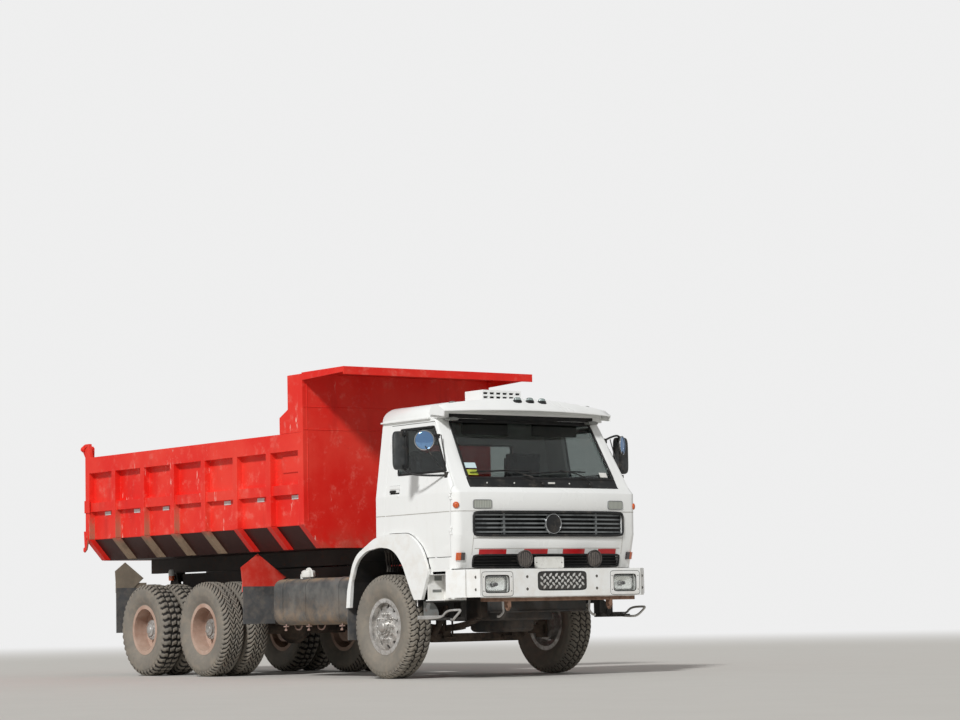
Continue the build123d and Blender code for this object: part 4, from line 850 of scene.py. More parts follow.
doorLook = {
    "window": [(0.266, 2.08), (1.119, 2.08), (0.836, 2.548), (0.244, 2.548)], "seal": (0.011, 0.006),
    "sealUp": (0, 1, 0.14), "recess": ((0.141, 0.319), (1.1355, 1.1375), (1.886, 1.974)),
    "grip": ((0.205, 1.914), (0.058, 0.013)),
    "gripRows": [(1, 1.146), (1, 1.157), (0.96, 1.161), (0.8, 1.163)],
    "covers": [((0.143, 0.317), (1.137, 1.1585), (1.937, 1.972)),
               ((0.236, 0.31), (1.137, 1.155), (1.9, 1.928))],
    "key": [(0.013, 1.155), (0.013, 1.1635), (0.009, 1.165)], "keyAt": (0.3, 0, 1.862),
    "rear": [(-0.618, 2.082), (0.618, 2.082), (0.598, 2.438), (-0.598, 2.438)],
}
line = divide(rounded(doorLook["window"], 0.05), 120, True)
line = np.stack([line[:, 0], cabRow(line[:, 1])[2] + 0.001, line[:, 1]], 1)
trims = [tube(line, doorLook["seal"], doorLook["sealUp"], 8, True), block(*doorLook["recess"]),
         pillow(*doorLook["grip"], 5, 28, doorLook["gripRows"], "y")]
covers = blocks(doorLook["covers"]) + [lathe(doorLook["key"], doorLook["keyAt"], "y", 16)]
for side, word in hands:
    trim, cover = [parts if side > 0 else [mirrored(part) for part in parts] for parts in (trims, covers)]
    piece("doorHandle_" + word, cover, "cabWhite", 0.002, "door_" + word)
    piece("doorTrim_" + word, trim, "gasket", body="door_" + word)
rear = divide(rounded(doorLook["rear"], 0.05), 90, True)
piece("rearWindowSeal", tube(lift(rear, -0.108), (0.013, 0.006), "x", 8, True), "gasket")
print("windows")


# Grille frame, the blank disc at its middle, lower slot, upper lamps, stripe

grilleLook = {
    "frame": ((0.0, 1.545), (0.957, 0.119)), "slot": ((0, 1.172), (0.936, 0.061)), "disc": 0.105,
    "slats": (1.139, 1.171, 1.203), "lampMiddle": (0.8525, 1.741), "lampHalf": (0.1045, 0.041),
    "stripeZ": (1.238, 1.29), "stripeHalf": 0.877,
    "stripeCuts": (0, 0.181, 0.302, 0.471, 0.582, 0.749, 0.855, 1),
}
frameLine, slotLine = [divide(softBox(*grilleLook[key], 14, 60), 160, True) for key in ("frame", "slot")]
parts = [tube(onNose(frameLine, 0.006), (0.013, 0.011), "x", 10, True),
         tube(onNose(slotLine, 0.002), (0.01, 0.008), "x", 8, True)]
for z in grilleLook["slats"]:
    parts.append(tube(onNose(divide([(-0.925, z), (0.925, z)], 40), -0.014), (0.012, 0.005), "z", 8))
piece("grilleFrames", parts, "blackPlastic")
z = grilleLook["frame"][0][1]
x, r = float(noseAt(0, z)), grilleLook["disc"]
ring = [(r - 0.012, x - 0.02), (r, x - 0.02), (r, x + 0.008), (r - 0.004, x + 0.013), (r - 0.009, x + 0.013),
        (r - 0.013, x + 0.006)]
piece("grilleRing", lathe(ring, (0, 0, z), "x", 48, True), "chrome")
disc = [(r - 0.012, x - 0.02), (r - 0.012, x + 0.003), (r * 0.6, x + 0.008), (r * 0.2, x + 0.01)]
piece("grilleDisc", lathe(disc, (0, 0, z), "x", 48), "blackPlastic")
(y, z), (wide, tall) = grilleLook["lampMiddle"], grilleLook["lampHalf"]
frames, lenses = [], []
for side in (-1, 1):
    line = divide(softBox((side * y, z), (wide, tall), 9, 40), 64, True)
    frames.append(tube(onNose(line, 0.003), 0.006, "x", 8, True))
    across = (side * y - wide + 0.004, side * y + wide - 0.004)
    lenses.append(skin(noseSheet(across, (z - tall + 0.004, z + tall - 0.004), 0.007, 16, 5), (-0.01, 0, 0)))
piece("upperLampFrames", frames, "greyPlastic")
piece("upperLampLenses", lenses, "lampClear")
cuts = np.array(grilleLook["stripeCuts"]) * 2 * grilleLook["stripeHalf"] - grilleLook["stripeHalf"]
for name, first, finish in (("stripeRed", 0, "tapeRed"), ("stripeWhite", 1, "tapeWhite")):
    piece(name, [skin(noseSheet(cuts[k:k + 2], grilleLook["stripeZ"], 0.003, 10, 3), (-0.003, 0, 0))
                 for k in range(first, 7, 2)], finish)


# Blank number plate, tread plate and bolts on the bumper

plateLook = {"x": 1.402, "half": (0.186, 0.058), "inner": (0.177, 0.049), "middle": (-0.072, 1.152)}
x, middle = plateLook["x"], plateLook["middle"]
outline, inner = [softBox(middle, plateLook[key], 12) for key in ("half", "inner")]
parts = [dome(outline, middle, [(1, x - 0.004), (1, x)]), ringPlate(outline, inner, x - 0.001, x + 0.003)]
piece("numberPlate", parts, "whitePlate", 0.001)
parts = [block((x - 0.012, x - 0.004), (y - 0.015, y + 0.015), (1.085, 1.16)) for y in (-0.18, 0.04)]
bolt = lathe([(0.006, 0), (0.006, 0.004), (0.003, 0.005)], sides=8)
parts.append(scatter(bolt, [(x, y, 1.152) for y in (-0.232, 0.088)]))
piece("numberPlateBrackets", parts, "boltSteel", 0.001)

treadLook = {"middle": (0, 0.965), "half": (0.305, 0.0885), "edge": (0.306, 0.091), "face": 1.5203,
             "pitch": (0.075, 0.06), "room": (0.285, 0.075), "bar": (0.024, 0.0125)}
(wide, tall), x, z = treadLook["pitch"], treadLook["face"], treadLook["middle"][1]
spots, faces = pillow((0, 0), treadLook["bar"], 1.7, 20, [(1, -0.002), (1, 0.0006), (0.7, 0.0016)])
bars = []
for lean, way in ((0, 1), (0.5, -1)):
    shifts = [((col + lean) * wide, (row + lean) * tall) for row in range(-1, 2) for col in range(-4, 5)]
    places = [(x, y, z + up) for y, up in shifts if np.all(np.abs((y, up)) < treadLook["room"])]
    u, v = spots[:, 1], spots[:, 2]
    turned = np.stack([spots[:, 0], (u - way * v) * 0.7071, (way * u + v) * 0.7071], 1)
    bars.append(scatter((turned, faces), places))
piece("bumperTreadBars", bars, "treadSteel")
rows = [(1, x - 0.003), (1, x + 0.0003)]
piece("bumperTreadPlate", pillow(treadLook["middle"], treadLook["half"], 12, 48, rows), "darkSteel")
edge = divide(softBox(treadLook["middle"], treadLook["edge"], 10, 60), 120, True)
piece("bumperTreadEdge", tube(lift(edge, 1.519), (0.008, 0.0025), "x", 8, True), "blackPlastic")
bolt = lathe([(0.015, -0.004), (0.015, 0.001), (0.009, 0.002), (0.004, 0.002)], sides=12)
places = [(x, side * y, z) for x, y in ((1.52, 0.445), (1.494, 1.062)) for side in (-1, 1)
          for z in (0.886, 1.009)]
piece("bumperBolts", scatter(bolt, places), "boltSteel")
parts = [seam([(x, y, 0.825), (x, y, 1.086)], "x") for x, y in ((1.519, 1.026), (1.428, 1.142))]
piece("bumperSeams", both(parts), "seamGrey")


# Headlamps in the bumper's pockets, each a bezel, a ringed bowl with bulb, band, shield and bulged lens

lampLook = {
    "middle": (0.8165, 0.9395), "plate": (0.19, 0.119), "outline": (0.193, 0.122), "rim": (0.149, 0.087),
    "bowl": [(1, 1.496), (1, 1.456), (0.08, 1.456), (0.08, 1.459), (0.35, 1.462), (0.6, 1.469), (0.8, 1.478),
             (0.93, 1.488), (0.98, 1.496)], "bulb": [(0.008, 1.462), (0.01, 1.48), (0.007, 1.49)],
    "shield": [(1, 1.482), (1, 1.487), (0.7, 1.492), (0.3, 1.493)], "screws": (0.171, 0.07),
}
middle = lampLook["middle"]
bezel = ringPlate(softBox(middle, lampLook["plate"], 12), softBox(middle, (0.152, 0.09), 8), 1.512, 1.521)
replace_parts(piece("headlampBezels", both([bezel]), "cabWhite", 0.003), "lamps")
v, u = np.meshgrid(np.linspace(-1, 1, 25), np.linspace(-1, 1, 97))
bulge = 1.502 + 0.012 * (1 - u ** 4) * (1 - v ** 4) + 0.0012 * np.sin(u * 66)
lens = skin(np.stack([bulge, middle[0] + u * 0.145, middle[1] + v * 0.083], -1), (-0.003, 0, 0))
piece("headlampLenses", both([lens]), "lampGlass")
band = ringPlate(softBox(middle, lampLook["rim"], 8), softBox(middle, (0.122, 0.064), 5), 1.486, 1.489)
piece("headlampBands", both([band]), "greyLens")
shield = pillow((middle[0], middle[1] - 0.004), (0.03, 0.019), 2.2, 24, lampLook["shield"])
piece("headlampShields", both([shield]), "smokeLens")
parts = [pillow(middle, (0.15, 0.088), 8, 48, lampLook["bowl"], ring=True),
         lathe(lampLook["bulb"], (0, *middle), "x", 12)]
piece("headlampBowls", both(parts), "bowlSilver")
rimLine = divide(softBox(middle, lampLook["rim"], 7), 80, True)
plateLine = divide(softBox(middle, lampLook["outline"], 12, 60), 120, True)
parts = [tube(lift(rimLine, 1.513), (0.004, 0.006), "x", 8, True),
         tube(lift(plateLine, 1.5195), 0.0025, "x", 6, True)]
piece("headlampRims", both(parts), "gasket")

# Fog lamps on their feet above the bumper
fogLook = {
    "y": 0.445, "z": 1.189, "scale": (1.1, 1), "foot": (1.46, 0.445),
    "shell": [(0.03, 1.425), (0.055, 1.434), (0.07, 1.452), (0.077, 1.474), (0.0785, 1.494)],
    "rim": [(0.072, 1.49), (0.079, 1.488), (0.08, 1.497), (0.08, 1.506), (0.077, 1.51), (0.07, 1.51),
            (0.067, 1.504)],
    "lens": [(0.07, 1.495), (0.0705, 1.5), (0.06, 1.506), (0.04, 1.511), (0.018, 1.5135)],
}
centre, foot = (0, fogLook["y"], fogLook["z"]), fogLook["foot"]
shell, rim, lens = [lathe(np.array(fogLook[key]) * fogLook["scale"], centre, "x", count, key == "rim")
                    for key, count in (("shell", 40), ("rim", 48), ("lens", 48))]
parts = [shell, tube([(*foot, 1.086), (*foot, 1.112)], 0.012, "x", 12),
         lathe([(0.026, 1.087), (0.026, 1.092), (0.014, 1.097)], (*foot, 0), "z", 16)]
piece("fogShells", both(parts), "blackPlastic")
piece("fogRims", both([rim]), "fogRim")
piece("fogLenses", both([lens]), "fogDark")
wide, tall = lampLook["screws"]
places = [(1.521, side * (middle[0] + a), middle[1] + b) for side in (-1, 1) for a in (-wide, wide)
          for b in (-tall, tall)]
small = lathe([(0.006, -0.003), (0.006, 0.0005), (0.003, 0.001)], sides=8)
piece("headlampScrews", scatter(small, places), "boltSteel")


# Small lamps: round side lamps and corner lamps, visor lamps, the lenses under the visor's corners

smallLook = {
    "round": (1.732, 0.75), "roundRows": [(0, 0.034), (0.35, 0.034), (0.7, 0.03), (0.9, 0.02), (1, 0.008)],
    "amber": (0.095, 0.15), "grey": (0.151, 0.196), "level": (1.183, 1.258), "out": 0.018,
    "visorX": 0.99, "visorY": (-0.122, 0.037, 0.196),
    "wedge": [(0.85, -0.9), (0.91, -0.9), (0.91, -0.835), (0.85, -0.835)],
    "under": ((-0.905, 2.622), (0.072, 0.022)), "slots": (2.882, 2.924),
}
base, tip = [cornerPoint(*smallLook["round"], out) for out in (-0.004, 0.022)]
share, radius = np.array(smallLook["roundRows"]).T
amberRound = tube(base + (tip - base) * share[:, None], radius[:, None] * (1, 1), "z", 24)
amberCorner, greyCorner = [skin(alongFront(*smallLook[key], *smallLook["level"], smallLook["out"]), depth)
                           for key, depth in (("amber", (-0.016, 0.014, 0)), ("grey", (-0.016, 0.008, 0)))]
piece("amberLamps", [amberRound, mirrored(amberRound), amberCorner, mirrored(amberCorner)], "amber", 0.003)
piece("cornerLamps", both([greyCorner]), "smokeLens", 0.003)
visorLook = {"crown": 2.99, "droop": 0.095, "half": 1.08, "slope": 0.593}


def visorTop(x, y):
    # Height of the visor's sheet: an arch across the truck that falls forward
    arch = visorLook["droop"] * (y / visorLook["half"]) ** 2
    return visorLook["crown"] - arch - visorLook["slope"] * (x - 0.7)


x = smallLook["visorX"]
bases, clears = [], []
for y in smallLook["visorY"]:
    z = float(visorTop(x, y))
    bases.append(pillow((x, y), (0.03, 0.048), 2.6, 24,
                        [(1, z - 0.016), (1, z + 0.012), (0.9, z + 0.016)], "z"))
    clears.append(pillow((x, y), (0.025, 0.042), 2.4, 24,
                         [(1, z + 0.01), (0.97, z + 0.026), (0.8, z + 0.038), (0.45, z + 0.044)], "z"))
piece("visorLampBases", bases, "blackPlastic")
piece("visorLampLenses", clears, "whiteLens")
wedge = dome(smallLook["wedge"], (0.88, -0.8675), [(1, 2.775), (1, 2.792), (0.55, 2.806)], "z")
under = pillow(*smallLook["under"], 2.2, 28, [(1, 0.88), (1, 0.925), (0.92, 0.95), (0.7, 0.962)])
piece("visorSideLamps", both([wedge, under]), "greyLens", 0.003)
parts = [block((0.5425, 0.5435), (-0.245, 0.245), (z - 0.003, z + 0.025)) for z in smallLook["slots"]]
piece("hatchSlots", parts, "gasket")
print("lamps")


# Mirrors: tall housing with its bulged back and glass, round mirror, arms and brackets, on each door.
# Housing rows run from the glass's frame to the bulge in front; the round mirror is a shallow bowl.

mirrorLook = {
    "middle": (1.427, 2.3), "half": (0.093, 0.196), "round": (0.955, 1.277, 2.395), "toe": 0.62,
    "house": [(0.9, 0.742), (0.9, 0.737), (1.0, 0.736), (1.0, 0.757), (0.985, 0.766), (0.9, 0.774),
              (0.6, 0.782), (0.25, 0.785)],
    "bowl": [(0.03, -0.015), (0.08, -0.011), (0.1, -0.002), (0.1, 0.008), (0.096, 0.01), (0.095, 0.004)],
    "disc": [(0.0955, 0.0045), (0.093, 0.006), (0.07, 0.01), (0.04, 0.0126), (0.01, 0.0135)],
    "rim": [(0.093, 0.008), (0.101, 0.006), (0.101, 0.012), (0.093, 0.013)],
    "arms": [
        ([(0.914, 1.078, 2.44), (0.865, 1.17, 2.475), (0.8, 1.34, 2.515), (0.772, 1.4, 2.497)], 0.011,
         "z", 10),
        ([(1.12, 1.118, 2.04), (1.05, 1.17, 2.035), (0.84, 1.34, 2.05), (0.775, 1.4, 2.105)], 0.011,
         "z", 10),
        ([(1.12, 1.118, 2.04), (1.075, 1.17, 2.12), (0.985, 1.262, 2.3), (0.955, 1.277, 2.35)], 0.008,
         "y", 8),
        ([(0.775, 1.395, 2.1), (0.793, 1.39, 2.13), (0.793, 1.39, 2.47), (0.775, 1.395, 2.5)], 0.009,
         "y", 8),
        ([(0.988, 1.094, 2.452), (1.112, 1.117, 2.065)], 0.006, "y", 8, 0),
    ],
    "brackets": [
        ((0.765, 0.805), (1.365, 1.425), (2.118, 2.15)), ((0.765, 0.805), (1.365, 1.425), (2.45, 2.482)),
        ((1.095, 1.145), (1.105, 1.14), (2.01, 2.07)), ((0.895, 0.933), (1.062, 1.098), (2.415, 2.465)),
    ],
}
outline = softBox(mirrorLook["middle"], mirrorLook["half"], 5.5, 56)
house = dome(outline, mirrorLook["middle"], mirrorLook["house"])
glass = dome(outline, mirrorLook["middle"], [(0.89, 0.741), (0.885, 0.7375)])
c, s = np.cos(mirrorLook["toe"]), np.sin(mirrorLook["toe"])
turned = np.array([(c, s, 0), (-s, c, 0), (0, 0, 1)])
roundParts = [lathe(mirrorLook[key], sides=40, ring=key == "rim") for key in ("bowl", "disc", "rim")]
bowl, disc, rim = [(spots @ turned + mirrorLook["round"], faces) for spots, faces in roundParts]
arms = [bent(*row) for row in mirrorLook["arms"]] + blocks(mirrorLook["brackets"])
mirrorPieces = [("Housing_", [house, bowl], "mirrorShell", 0.0), ("Arms_", arms, "blackPlastic", 0.002),
                ("Glass_", [glass, disc], "mirrorGlass", 0.0), ("Rim_", [rim], "chrome", 0.0)]
for side, word in hands:
    for name, parts, finish, bevel in mirrorPieces:
        parts = parts if side > 0 else [mirrored(part) for part in parts]
        made = piece("mirror" + name + word, parts, finish, bevel, "door_" + word)
        if name == "Housing_":
            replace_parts(made, "mirrors_" + word)
print("mirrors")


# Labels on the windscreen, side panel by the bumper, steps beside the bumper, tow hooks

labels = {"labelBlue": ((-0.925, -0.79), (2.112, 2.168)), "labelGreen": ((-0.915, -0.8), (2.04, 2.096)),
          "whitePlate": ((0.765, 0.87), (2.035, 2.085))}
for finish, (y, z) in labels.items():
    piece("label_" + finish, skin(noseSheet(y, z, 0.0015, 8, 4), (-0.001, 0, -0.0006)), finish)
panelLook = {
    "panels": [((0.8, 1.17), (0.952, 0.958), (0.8, 1.105)), ((0.79, 0.8), (0.908, 1.156), (0.795, 1.105)),
               ((0.83, 1.19), (1.135, 1.15), (1.046, 1.104)), ((1.102, 1.172), (1.135, 1.15), (0.8, 1.06))],
    "slots": [((0.8, 0.802), (0.99, 1.1), (0.872, 0.9)), ((0.8, 0.802), (0.985, 1.075), (0.99, 1.036))],
    "plate": [(0.64, 0.624), (0.902, 0.624), (0.898, 0.67), (0.88, 0.712), (0.84, 0.752), (0.79, 0.776),
              (0.73, 0.785), (0.64, 0.785)],
    "pipe": [(0.66, 1.182, 0.612), (1.07, 1.182, 0.612), (1.15, 1.182, 0.686), (1.375, 1.182, 0.692),
             (1.392, 1.182, 0.68), (1.262, 1.182, 0.598), (1.22, 1.14, 0.592), (1.1, 1.11, 0.6)],
    "treads": [((0.64, 1.06), (1.092, 1.178), (0.604, 0.616)), ((0.64, 1.06), (1.168, 1.18), (0.598, 0.64))],
    "hook": [(1.25, 0.555, 0.8), (1.25, 0.555, 0.712), (1.25, 0.548, 0.662), (1.25, 0.6, 0.615),
             (1.25, 0.63, 0.62)],
}
piece("sidePanels", both(blocks(panelLook["panels"])), "cabWhite", 0.004)
piece("sidePanelSlots", both(blocks(panelLook["slots"])), "plateGrey")
piece("stepPlates", both([prism(panelLook["plate"], 1.098, 1.104)]), "plateGrey", 0.002)
piece("pipeSteps", both([bent(panelLook["pipe"], 0.012)] + blocks(panelLook["treads"])), "silverPipe", 0.003)
hook = bent(panelLook["hook"], (0.013, 0.009), "x", 8)
piece("towHooks", both([hook]), "silverPipe")


# Body: raised plates, reflectors, seams, pins, latches

bodyLook = {
    "plate": ((-1.865, -1.435), (1.1745, 1.1885), (2.215, 2.395)), "face": 1.1745,
    "reflectors": (-1.632, -2.343, -3.056, -4.447, -5.135, -5.855), "reflectorSize": (0.072, 0.045),
    "rail": 1.966, "ribs": (-2.071, -2.775, -3.478, -4.182, -4.885, -5.589),
    "ribSeams": [(1.66, 1.968), (2.084, 2.6)], "plank": ((-6.3, -6.18), (1.25, 1.262), (1.96, 2.11)),
    "latch": [(-6.335, 1.74), (-6.24, 1.74), (-6.245, 1.6), (-6.275, 1.52), (-6.33, 1.485), (-6.352, 1.5),
              (-6.352, 1.535), (-6.318, 1.55), (-6.325, 1.6)],
    "roller": [(0.022, 1.222), (0.022, 1.262), (0.014, 1.266)],
    "pin": [(0.036, 1.2505), (0.036, 1.26), (0.026, 1.262), (0.024, 1.276), (0.012, 1.28)],
}
face, (half, tall) = bodyLook["face"], bodyLook["reflectorSize"]
parts = [block(*bodyLook["plate"])]
for x in np.array(bodyLook["ribs"]) + 0.049:
    for low, high in bodyLook["ribSeams"]:
        parts.append(seam([(x, face + 0.002, low), (x, face + 0.002, high)], "y", (0.006, 0.005)))
piece("bodyPlates", both(parts), "bedRed", 0.003, "bed")
parts = [block((x - half, x + half), (face, face + 0.006), (bodyLook["rail"] - tall, bodyLook["rail"]))
         for x in bodyLook["reflectors"]]
piece("bodyReflectors", both(parts), "tapeWhite", 0.002, "bed")
parts = [seam([(-1.3555, -1.245, z), (-1.3555, 1.245, z)], "z", (0.0035, 0.006)) for z in (2.66, 2.905)]
parts += [seam([(-1.3555, y, 1.67), (-1.3555, y, 3.16)], "y", (0.0035, 0.005)) for y in (-1.19, 1.19)]
piece("headboardSeams", parts, "bedRed", body="bed")
parts = [prism(rounded(bodyLook["latch"], 0.008), 1.232, 1.252),
         lathe(bodyLook["roller"], (-6.262, 0, 1.665), "y", 16), block(*bodyLook["plank"])]
piece("bodyLatches", both(parts), "bedRed", 0.003, "bed")
pin = lathe(bodyLook["pin"], (-6.337, 0, 2.742), "y", 20)
piece("tailgatePinHeads", both([pin]), "bedRed", body="tailgate")
print("body trim")


# Tank's filler cap with its handle and its straps' bolts; marker posts with their lamps

tankLook = {
    "cap": (-1.655, -1.01, 1.125), "straps": (-2.01, -1.55, -0.9), "marker": -5.24,
    "lid": [(0.064, -0.052), (0.074, -0.044), (0.078, -0.01), (0.075, 0.014), (0.06, 0.028), (0.022, 0.034)],
    "handle": [(-0.02, -0.01, 0.03), (0.05, -0.02, 0.045), (0.115, -0.03, 0.02), (0.125, -0.03, -0.045)],
    "hinge": ((-1.773, -1.715), (-1.038, -0.982), (1.063, 1.113)),
    "clip": [(0.02, -0.98, 0.565), (0.06, -0.99, 0.52), (0.13, -0.98, 0.512), (0.16, -0.97, 0.56)],
    "post": [(-0.43, 1.0), (-0.6, 1.0), (-0.66, 1.04), (-0.66, 1.12)],
    "lampFoot": [(0.034, 1.115), (0.037, 1.17)],
    "lampTop": [(0.036, 1.17), (0.037, 1.22), (0.028, 1.245), (0.01, 1.252)],
}
cap = tankLook["cap"]
parts = [lathe(tankLook["lid"], cap, "z", 28), bent(np.array(tankLook["handle"]) + cap, (0.018, 0.008)),
         block(*tankLook["hinge"])]
piece("fillerCap", parts, "whitePlate", 0.004)
parts = []
for x in tankLook["straps"]:
    parts.append(tube([(x, -1.075, 0.575), (x, -1.082, 0.5)], 0.007, "x", 8))
    parts.append(block((x - 0.022, x + 0.022), (-1.1, -1.055), (0.545, 0.557)))
    parts.append(lathe([(0.016, 0.505), (0.016, 0.52), (0.01, 0.524)], (x, -1.0805, 0), "z", 6))
    parts.append(bent([(x + a, y, z) for a, y, z in tankLook["clip"]], 0.008, "y", 8, 1))
piece("strapBolts", parts, "pinkMetal")
x = tankLook["marker"]
post = bent([(x, y, z) for y, z in tankLook["post"]], 0.011, "x")
foot = block((x - 0.04, x + 0.04), (-0.444, -0.43), (0.96, 1.04))
piece("markerPost", both([post, foot]), "chassis", 0.002)
for name, key, finish in (("markerLampFoot", "lampFoot", "amber"), ("markerLampTop", "lampTop", "tapeWhite")):
    piece(name, both([lathe(tankLook[key], (x, -0.66, 0), "z", 20)]), finish)


# Chassis: rail bolts, air pipes, springs' bolts, dampers, brake chambers, sump, front beam, tail lamps

chassisLook = {
    "rail": 0.43, "pitch": 0.16, "rows": (0.832, 0.868, 0.985, 1.022), "pipes": (0.905, 0.925, 0.945),
    "springs": [(0.0, (0.4, 0.416)), (-4.237, (0.62, 0.636))], "bolts": (-0.062, 0.062),
    "dampers": [([(0.085, 0.6, 0.43), (0.19, 0.492, 0.7)], 0.034),
                ([(0.17, 0.512, 0.65), (0.245, 0.455, 0.88)], 0.044)],
    "chamber": [(0.075, -0.1), (0.085, -0.07), (0.085, 0.0), (0.092, 0.005), (0.085, 0.01), (0.07, 0.07),
                (0.02, 0.075)], "chambers": (-3.3, -4.66),
    "beams": [((1.075, 1.115), (-0.62, 0.62), (0.655, 0.8)), ((1.06, 1.13), (-0.62, 0.62), (0.655, 0.675))],
    "bar": ((-5.652, -5.622), (-0.98, 0.98), (0.862, 0.922)),
    "box": ((-5.69, -5.652), (0.56, 0.94), (0.838, 0.946)),
    "lenses": {"amber": (0.815, 0.93), "redLens": (0.685, 0.81), "lampClear": (0.57, 0.68)},
    "plate": [((-5.6535, -5.6525), (-0.18, 0.18), (0.835, 0.95)),
              ((-5.654, -5.652), (-0.17, 0.17), (0.93, 0.945))],
}
xs = np.arange(-5.45, 1.05, chassisLook["pitch"])
places = [(x, chassisLook["rail"], z) for x in xs for z in chassisLook["rows"]]
piece("railBolts", both([scatter(hexBolt(0.024, 0.012), places)]), "boltSteel")
parts = []
for z in chassisLook["pipes"]:
    run = divide([(-5.3, 0.438, z), (-3.0, 0.438, z), (-2.9, 0.438, z - 0.004), (0.8, 0.438, z - 0.004)], 30)
    parts.append(tube(run, 0.007, "z", 8))
parts += [block((x - 0.012, x + 0.012), (0.43, 0.449), (0.893, 0.957)) for x in np.arange(-5.1, 0.8, 0.62)]
piece("airPipes", both(parts), "hose")
parts = []
for x, level in chassisLook["springs"]:
    parts += [tube([(x + off, y, 0.395), (x + off, y, 0.655)], 0.011, "x", 8)
              for y in (0.335, 0.445) for off in chassisLook["bolts"]]
    parts.append(block((x - 0.095, x + 0.095), (0.315, 0.465), level))
parts += [tube(path, size, "y", 16) for path, size in chassisLook["dampers"]]
parts += [lathe(chassisLook["chamber"], (x, 0.36, 0.66)) for x in chassisLook["chambers"]]
piece("springBolts", both(parts), "axle", 0.002)
sump = pillow((0.48, 0.0), (0.36, 0.19), 6, 32, [(0.8, 0.455), (0.92, 0.462), (1, 0.49), (1, 0.6)], "z")
piece("engineSump", [sump] + blocks(chassisLook["beams"]), "engine", 0.006)
piece("rearLampBar", block(*chassisLook["bar"]), "chassis", 0.004)
piece("rearLampBoxes", both([block(*chassisLook["box"])]), "blackPlastic", 0.006)
for finish, y in chassisLook["lenses"].items():
    piece("rearLens_" + finish, both([block((-5.7, -5.69), y, (0.848, 0.936))]), finish, 0.005)
piece("rearPlate", blocks(chassisLook["plate"]), "whitePlate", 0.0005)
print("chassis")


# Behind the cab: pipes, valve block, pipe bracket

rackLook = {
    "x": -0.17, "ys": (-0.86, -0.89, -0.92, -0.955, -0.985),
    "clamps": [((-0.2, -0.108), (-1.0, -0.84), (1.3, 1.33)), ((-0.18, -0.108), (-1.0, -0.84), (1.8, 1.815))],
    "bracket": ((-0.2, -0.108), (-0.985, -0.915), (1.645, 1.66)),
    "loop": [(-0.13, -0.93, 1.81), (-0.24, -0.95, 1.82), (-0.28, -0.97, 1.74), (-0.24, -0.96, 1.6)],
    "valve": [(0.024, -0.05), (0.034, -0.04), (0.034, 0.03), (0.02, 0.05)],
    "lower": [(0.022, -0.03), (0.03, -0.02), (0.03, 0.03), (0.016, 0.04)],
}
parts, rise = [], np.linspace(0, 1, 24)
for k, y in enumerate(rackLook["ys"]):
    x = rackLook["x"] - 0.035 * np.sin(rise * (3 + k)) ** 2
    path = np.stack([x, y + 0.02 * np.sin(rise * (5 + k)), 1.1 + rise * (0.62 - 0.05 * k)], 1)
    parts.append(tube(path, 0.01, "y", 8))
parts += blocks(rackLook["clamps"]) + [bent(rackLook["loop"], 0.009, "y", 8)]
piece("cabPipes", parts, "hose")
parts = [lathe(rackLook["valve"], (-0.185, -0.95, 1.7), "z", 16), block(*rackLook["bracket"]),
         lathe(rackLook["lower"], (-0.19, -0.96, 1.39), "z", 16)]
piece("cabValves", parts, "pinkMetal")
print("cab rear")


# Cab inside: padded seats on their bases, gauge hood, lever, roof visors

seatLook = {
    "y": 0.62, "half": 0.212, "cushion": ((0.15, 0.575), (1.665, 1.742)),
    "back": ((0.02, 0.15), (1.705, 2.355)),
    "voxel": 0.008, "cap": 0.024, "pressure": 4.0, "frames": 20,
    "base": [((0.14, 0.58), 0.2, (1.53, 1.642)), ((-0.008, 0.004), 0.19, (1.6, 2.3)),
             ((-0.008, 0.16), 0.19, (1.6, 1.63))],
    "lever": [(0.74, 0.1, 1.53), (0.73, 0.1, 1.72), (0.68, 0.13, 1.93)],
    "knob": [(0.01, -0.02), (0.024, -0.008), (0.026, 0.01), (0.014, 0.026)],
    "boot": [(0.07, 0.0), (0.05, 0.05), (0.02, 0.1)], "visor": ((0.845, 0.862), (0.16, 0.74), (2.47, 2.605)),
    "hood": [(1, 1.902), (0.97, 1.925), (0.85, 1.942)],
}


def pad(name, x, y, z):
    # Pad blown up as cloth with no gravity; no point moves further than the cap
    middle, half = [(x[0] + x[1]) / 2, (y[0] + y[1]) / 2], [(x[1] - x[0]) / 2, (y[1] - y[0]) / 2]
    corner = softBox(middle, half, 7, 40)
    levels = [(0.95, z[0]), (1, z[0] + 0.012), (1, z[1] - 0.012), (0.95, z[1])]
    made = piece(name, dome(corner, corner.mean(0), levels, "z"), "seatCloth")
    settle(made)


def settle(made):
    remesh = made.modifiers.new("remesh", "REMESH")
    remesh.mode, remesh.voxel_size = "VOXEL", seatLook["voxel"]
    graph = bpy.context.evaluated_depsgraph_get()
    made.data = bpy.data.meshes.new_from_object(made.evaluated_get(graph))
    made.modifiers.clear()
    count = len(made.data.vertices)
    start, end = np.empty(count * 3, np.float32), np.empty(count * 3, np.float32)
    made.data.vertices.foreach_get("co", start)
    cloth = made.modifiers.new("cloth", "CLOTH")
    cloth.settings.use_pressure = True
    cloth.settings.uniform_pressure_force = seatLook["pressure"]
    cloth.settings.effector_weights.gravity = 0
    for step in range(1, seatLook["frames"] + 1):
        scene.frame_set(step)
    made.evaluated_get(bpy.context.evaluated_depsgraph_get()).data.vertices.foreach_get("co", end)
    made.modifiers.clear()
    scene.frame_set(1)
    move = (end - start).reshape(-1, 3)
    far = np.linalg.norm(move, axis=1)[:, None]
    move *= np.minimum(1, seatLook["cap"] / np.maximum(far, 1e-6))
    made.data.vertices.foreach_set("co", (start + move.ravel()).astype(np.float32))
    made.data.update()


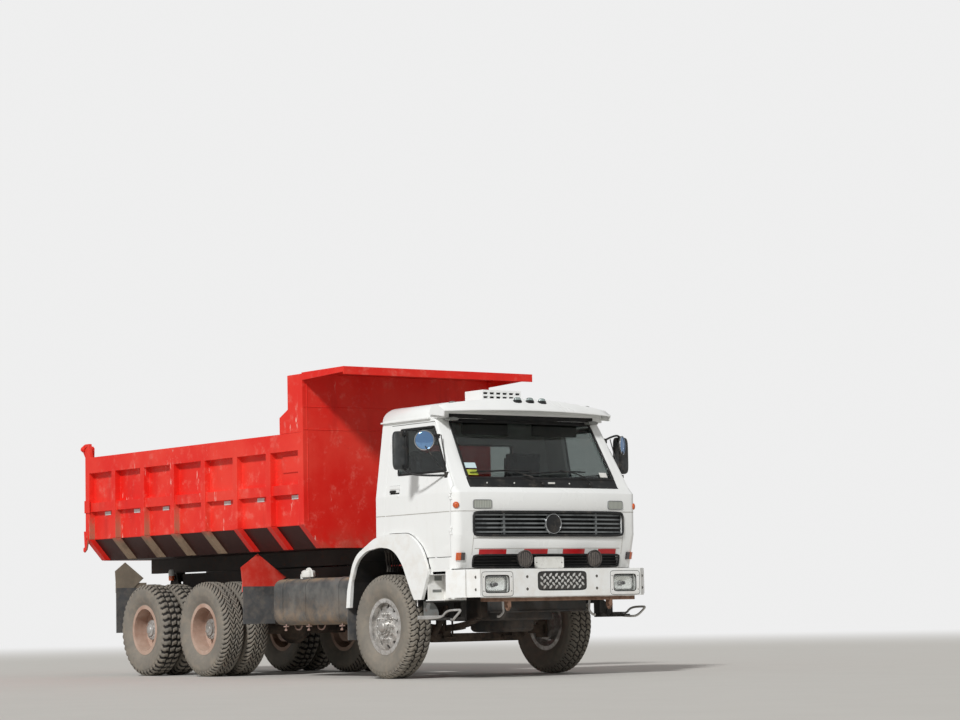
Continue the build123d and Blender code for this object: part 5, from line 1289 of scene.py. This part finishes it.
parts = []
for side, word in hands:
    middle = side * seatLook["y"]
    for name, key in (("seatCushion_", "cushion"), ("seatBack_", "back")):
        x, z = seatLook[key]
        pad(name + word, x, (middle - seatLook["half"], middle + seatLook["half"]), z)
    parts += [block(x, (middle - half, middle + half), z) for x, half, z in seatLook["base"]]
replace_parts(piece("seatFrames", parts, "darkSteel", 0.006), "seats")
parts = [bent(seatLook["lever"], 0.009), lathe(seatLook["knob"], (0.68, 0.13, 1.945), "z", 18),
         lathe(seatLook["boot"], (0.74, 0.1, 1.53), "z", 20)] + both([block(*seatLook["visor"])])
hood = dome(softBox((0, 0), (0.1, 0.24), 4, 32) + (1.05, 0.62), (1.05, 0.62), seatLook["hood"], "z")
piece("cabFittings", parts + [hood], "cabTrim", 0.004)
print("cab inside")


# Stage, lamps and world: near the truck the floor takes its light, far off it only glows to the camera

stageLook = {"floor": "c9c6c0", "patch": "cfccc6", "half": 90, "back": 0.86, "light": 0.38,
             "clear": (14.0, 45.0), "sun": 2.4, "sunAngle": 0.12, "toSun": (0.42, -0.66, 0.58)}
half = stageLook["half"]
floorMesh = bpy.data.meshes.new("floor")
corners = [(-half, -half, 0), (half, -half, 0), (half, half, 0), (-half, half, 0)]
floorMesh.from_pydata(corners, [], [(0, 1, 2, 3)])
floor = bpy.data.objects.new("floor", floorMesh)
scene.collection.objects.link(floor)
f = Finish("floorPale", {"Roughness": 0.9})
f.feed("Base Color", f.mix(f.noise(1.5, 3.0, 0.5), stageLook["floor"], stageLook["patch"]))
far = f.node("ShaderNodeVectorMath", {"operation": "LENGTH"}, [f.place], "Value").band(*stageLook["clear"])
glow = f.node("ShaderNodeEmission", {}, {"Color": (1, 1, 1, 1), "Strength": stageLook["back"]})
ray = f.node("ShaderNodeLightPath", {}, {}, "Is Camera Ray")
shown = f.node("ShaderNodeMixShader", {}, {0: far * ray, 1: Value(f, f.shader.outputs[0]), 2: glow})
f.tree.links.new(shown.socket, f.tree.nodes["Material Output"].inputs["Surface"])
floorMesh.materials.append(f.material)

world = bpy.data.worlds.new("world")
scene.world = world
world.use_nodes = True
tree = world.node_tree
back = tree.nodes["Background"]
path = tree.nodes.new("ShaderNodeLightPath")
seen = tree.nodes.new("ShaderNodeMath")
seen.operation = "MAXIMUM"
tree.links.new(path.outputs["Is Camera Ray"], seen.inputs[0])
tree.links.new(path.outputs["Is Transmission Ray"], seen.inputs[1])
level = tree.nodes.new("ShaderNodeMapRange")
level.inputs["To Min"].default_value = stageLook["light"]
level.inputs["To Max"].default_value = stageLook["back"]
tree.links.new(seen.outputs[0], level.inputs["Value"])
tree.links.new(level.outputs[0], back.inputs["Strength"])
back.inputs["Color"].default_value = (1, 1, 1, 1)

sunData = bpy.data.lights.new("sun", "SUN")
sunData.energy, sunData.angle = stageLook["sun"], stageLook["sunAngle"]
sun = bpy.data.objects.new("sun", sunData)
scene.collection.objects.link(sun)
sun.rotation_euler = Vector(stageLook["toSun"]).to_track_quat("Z", "Y").to_euler()
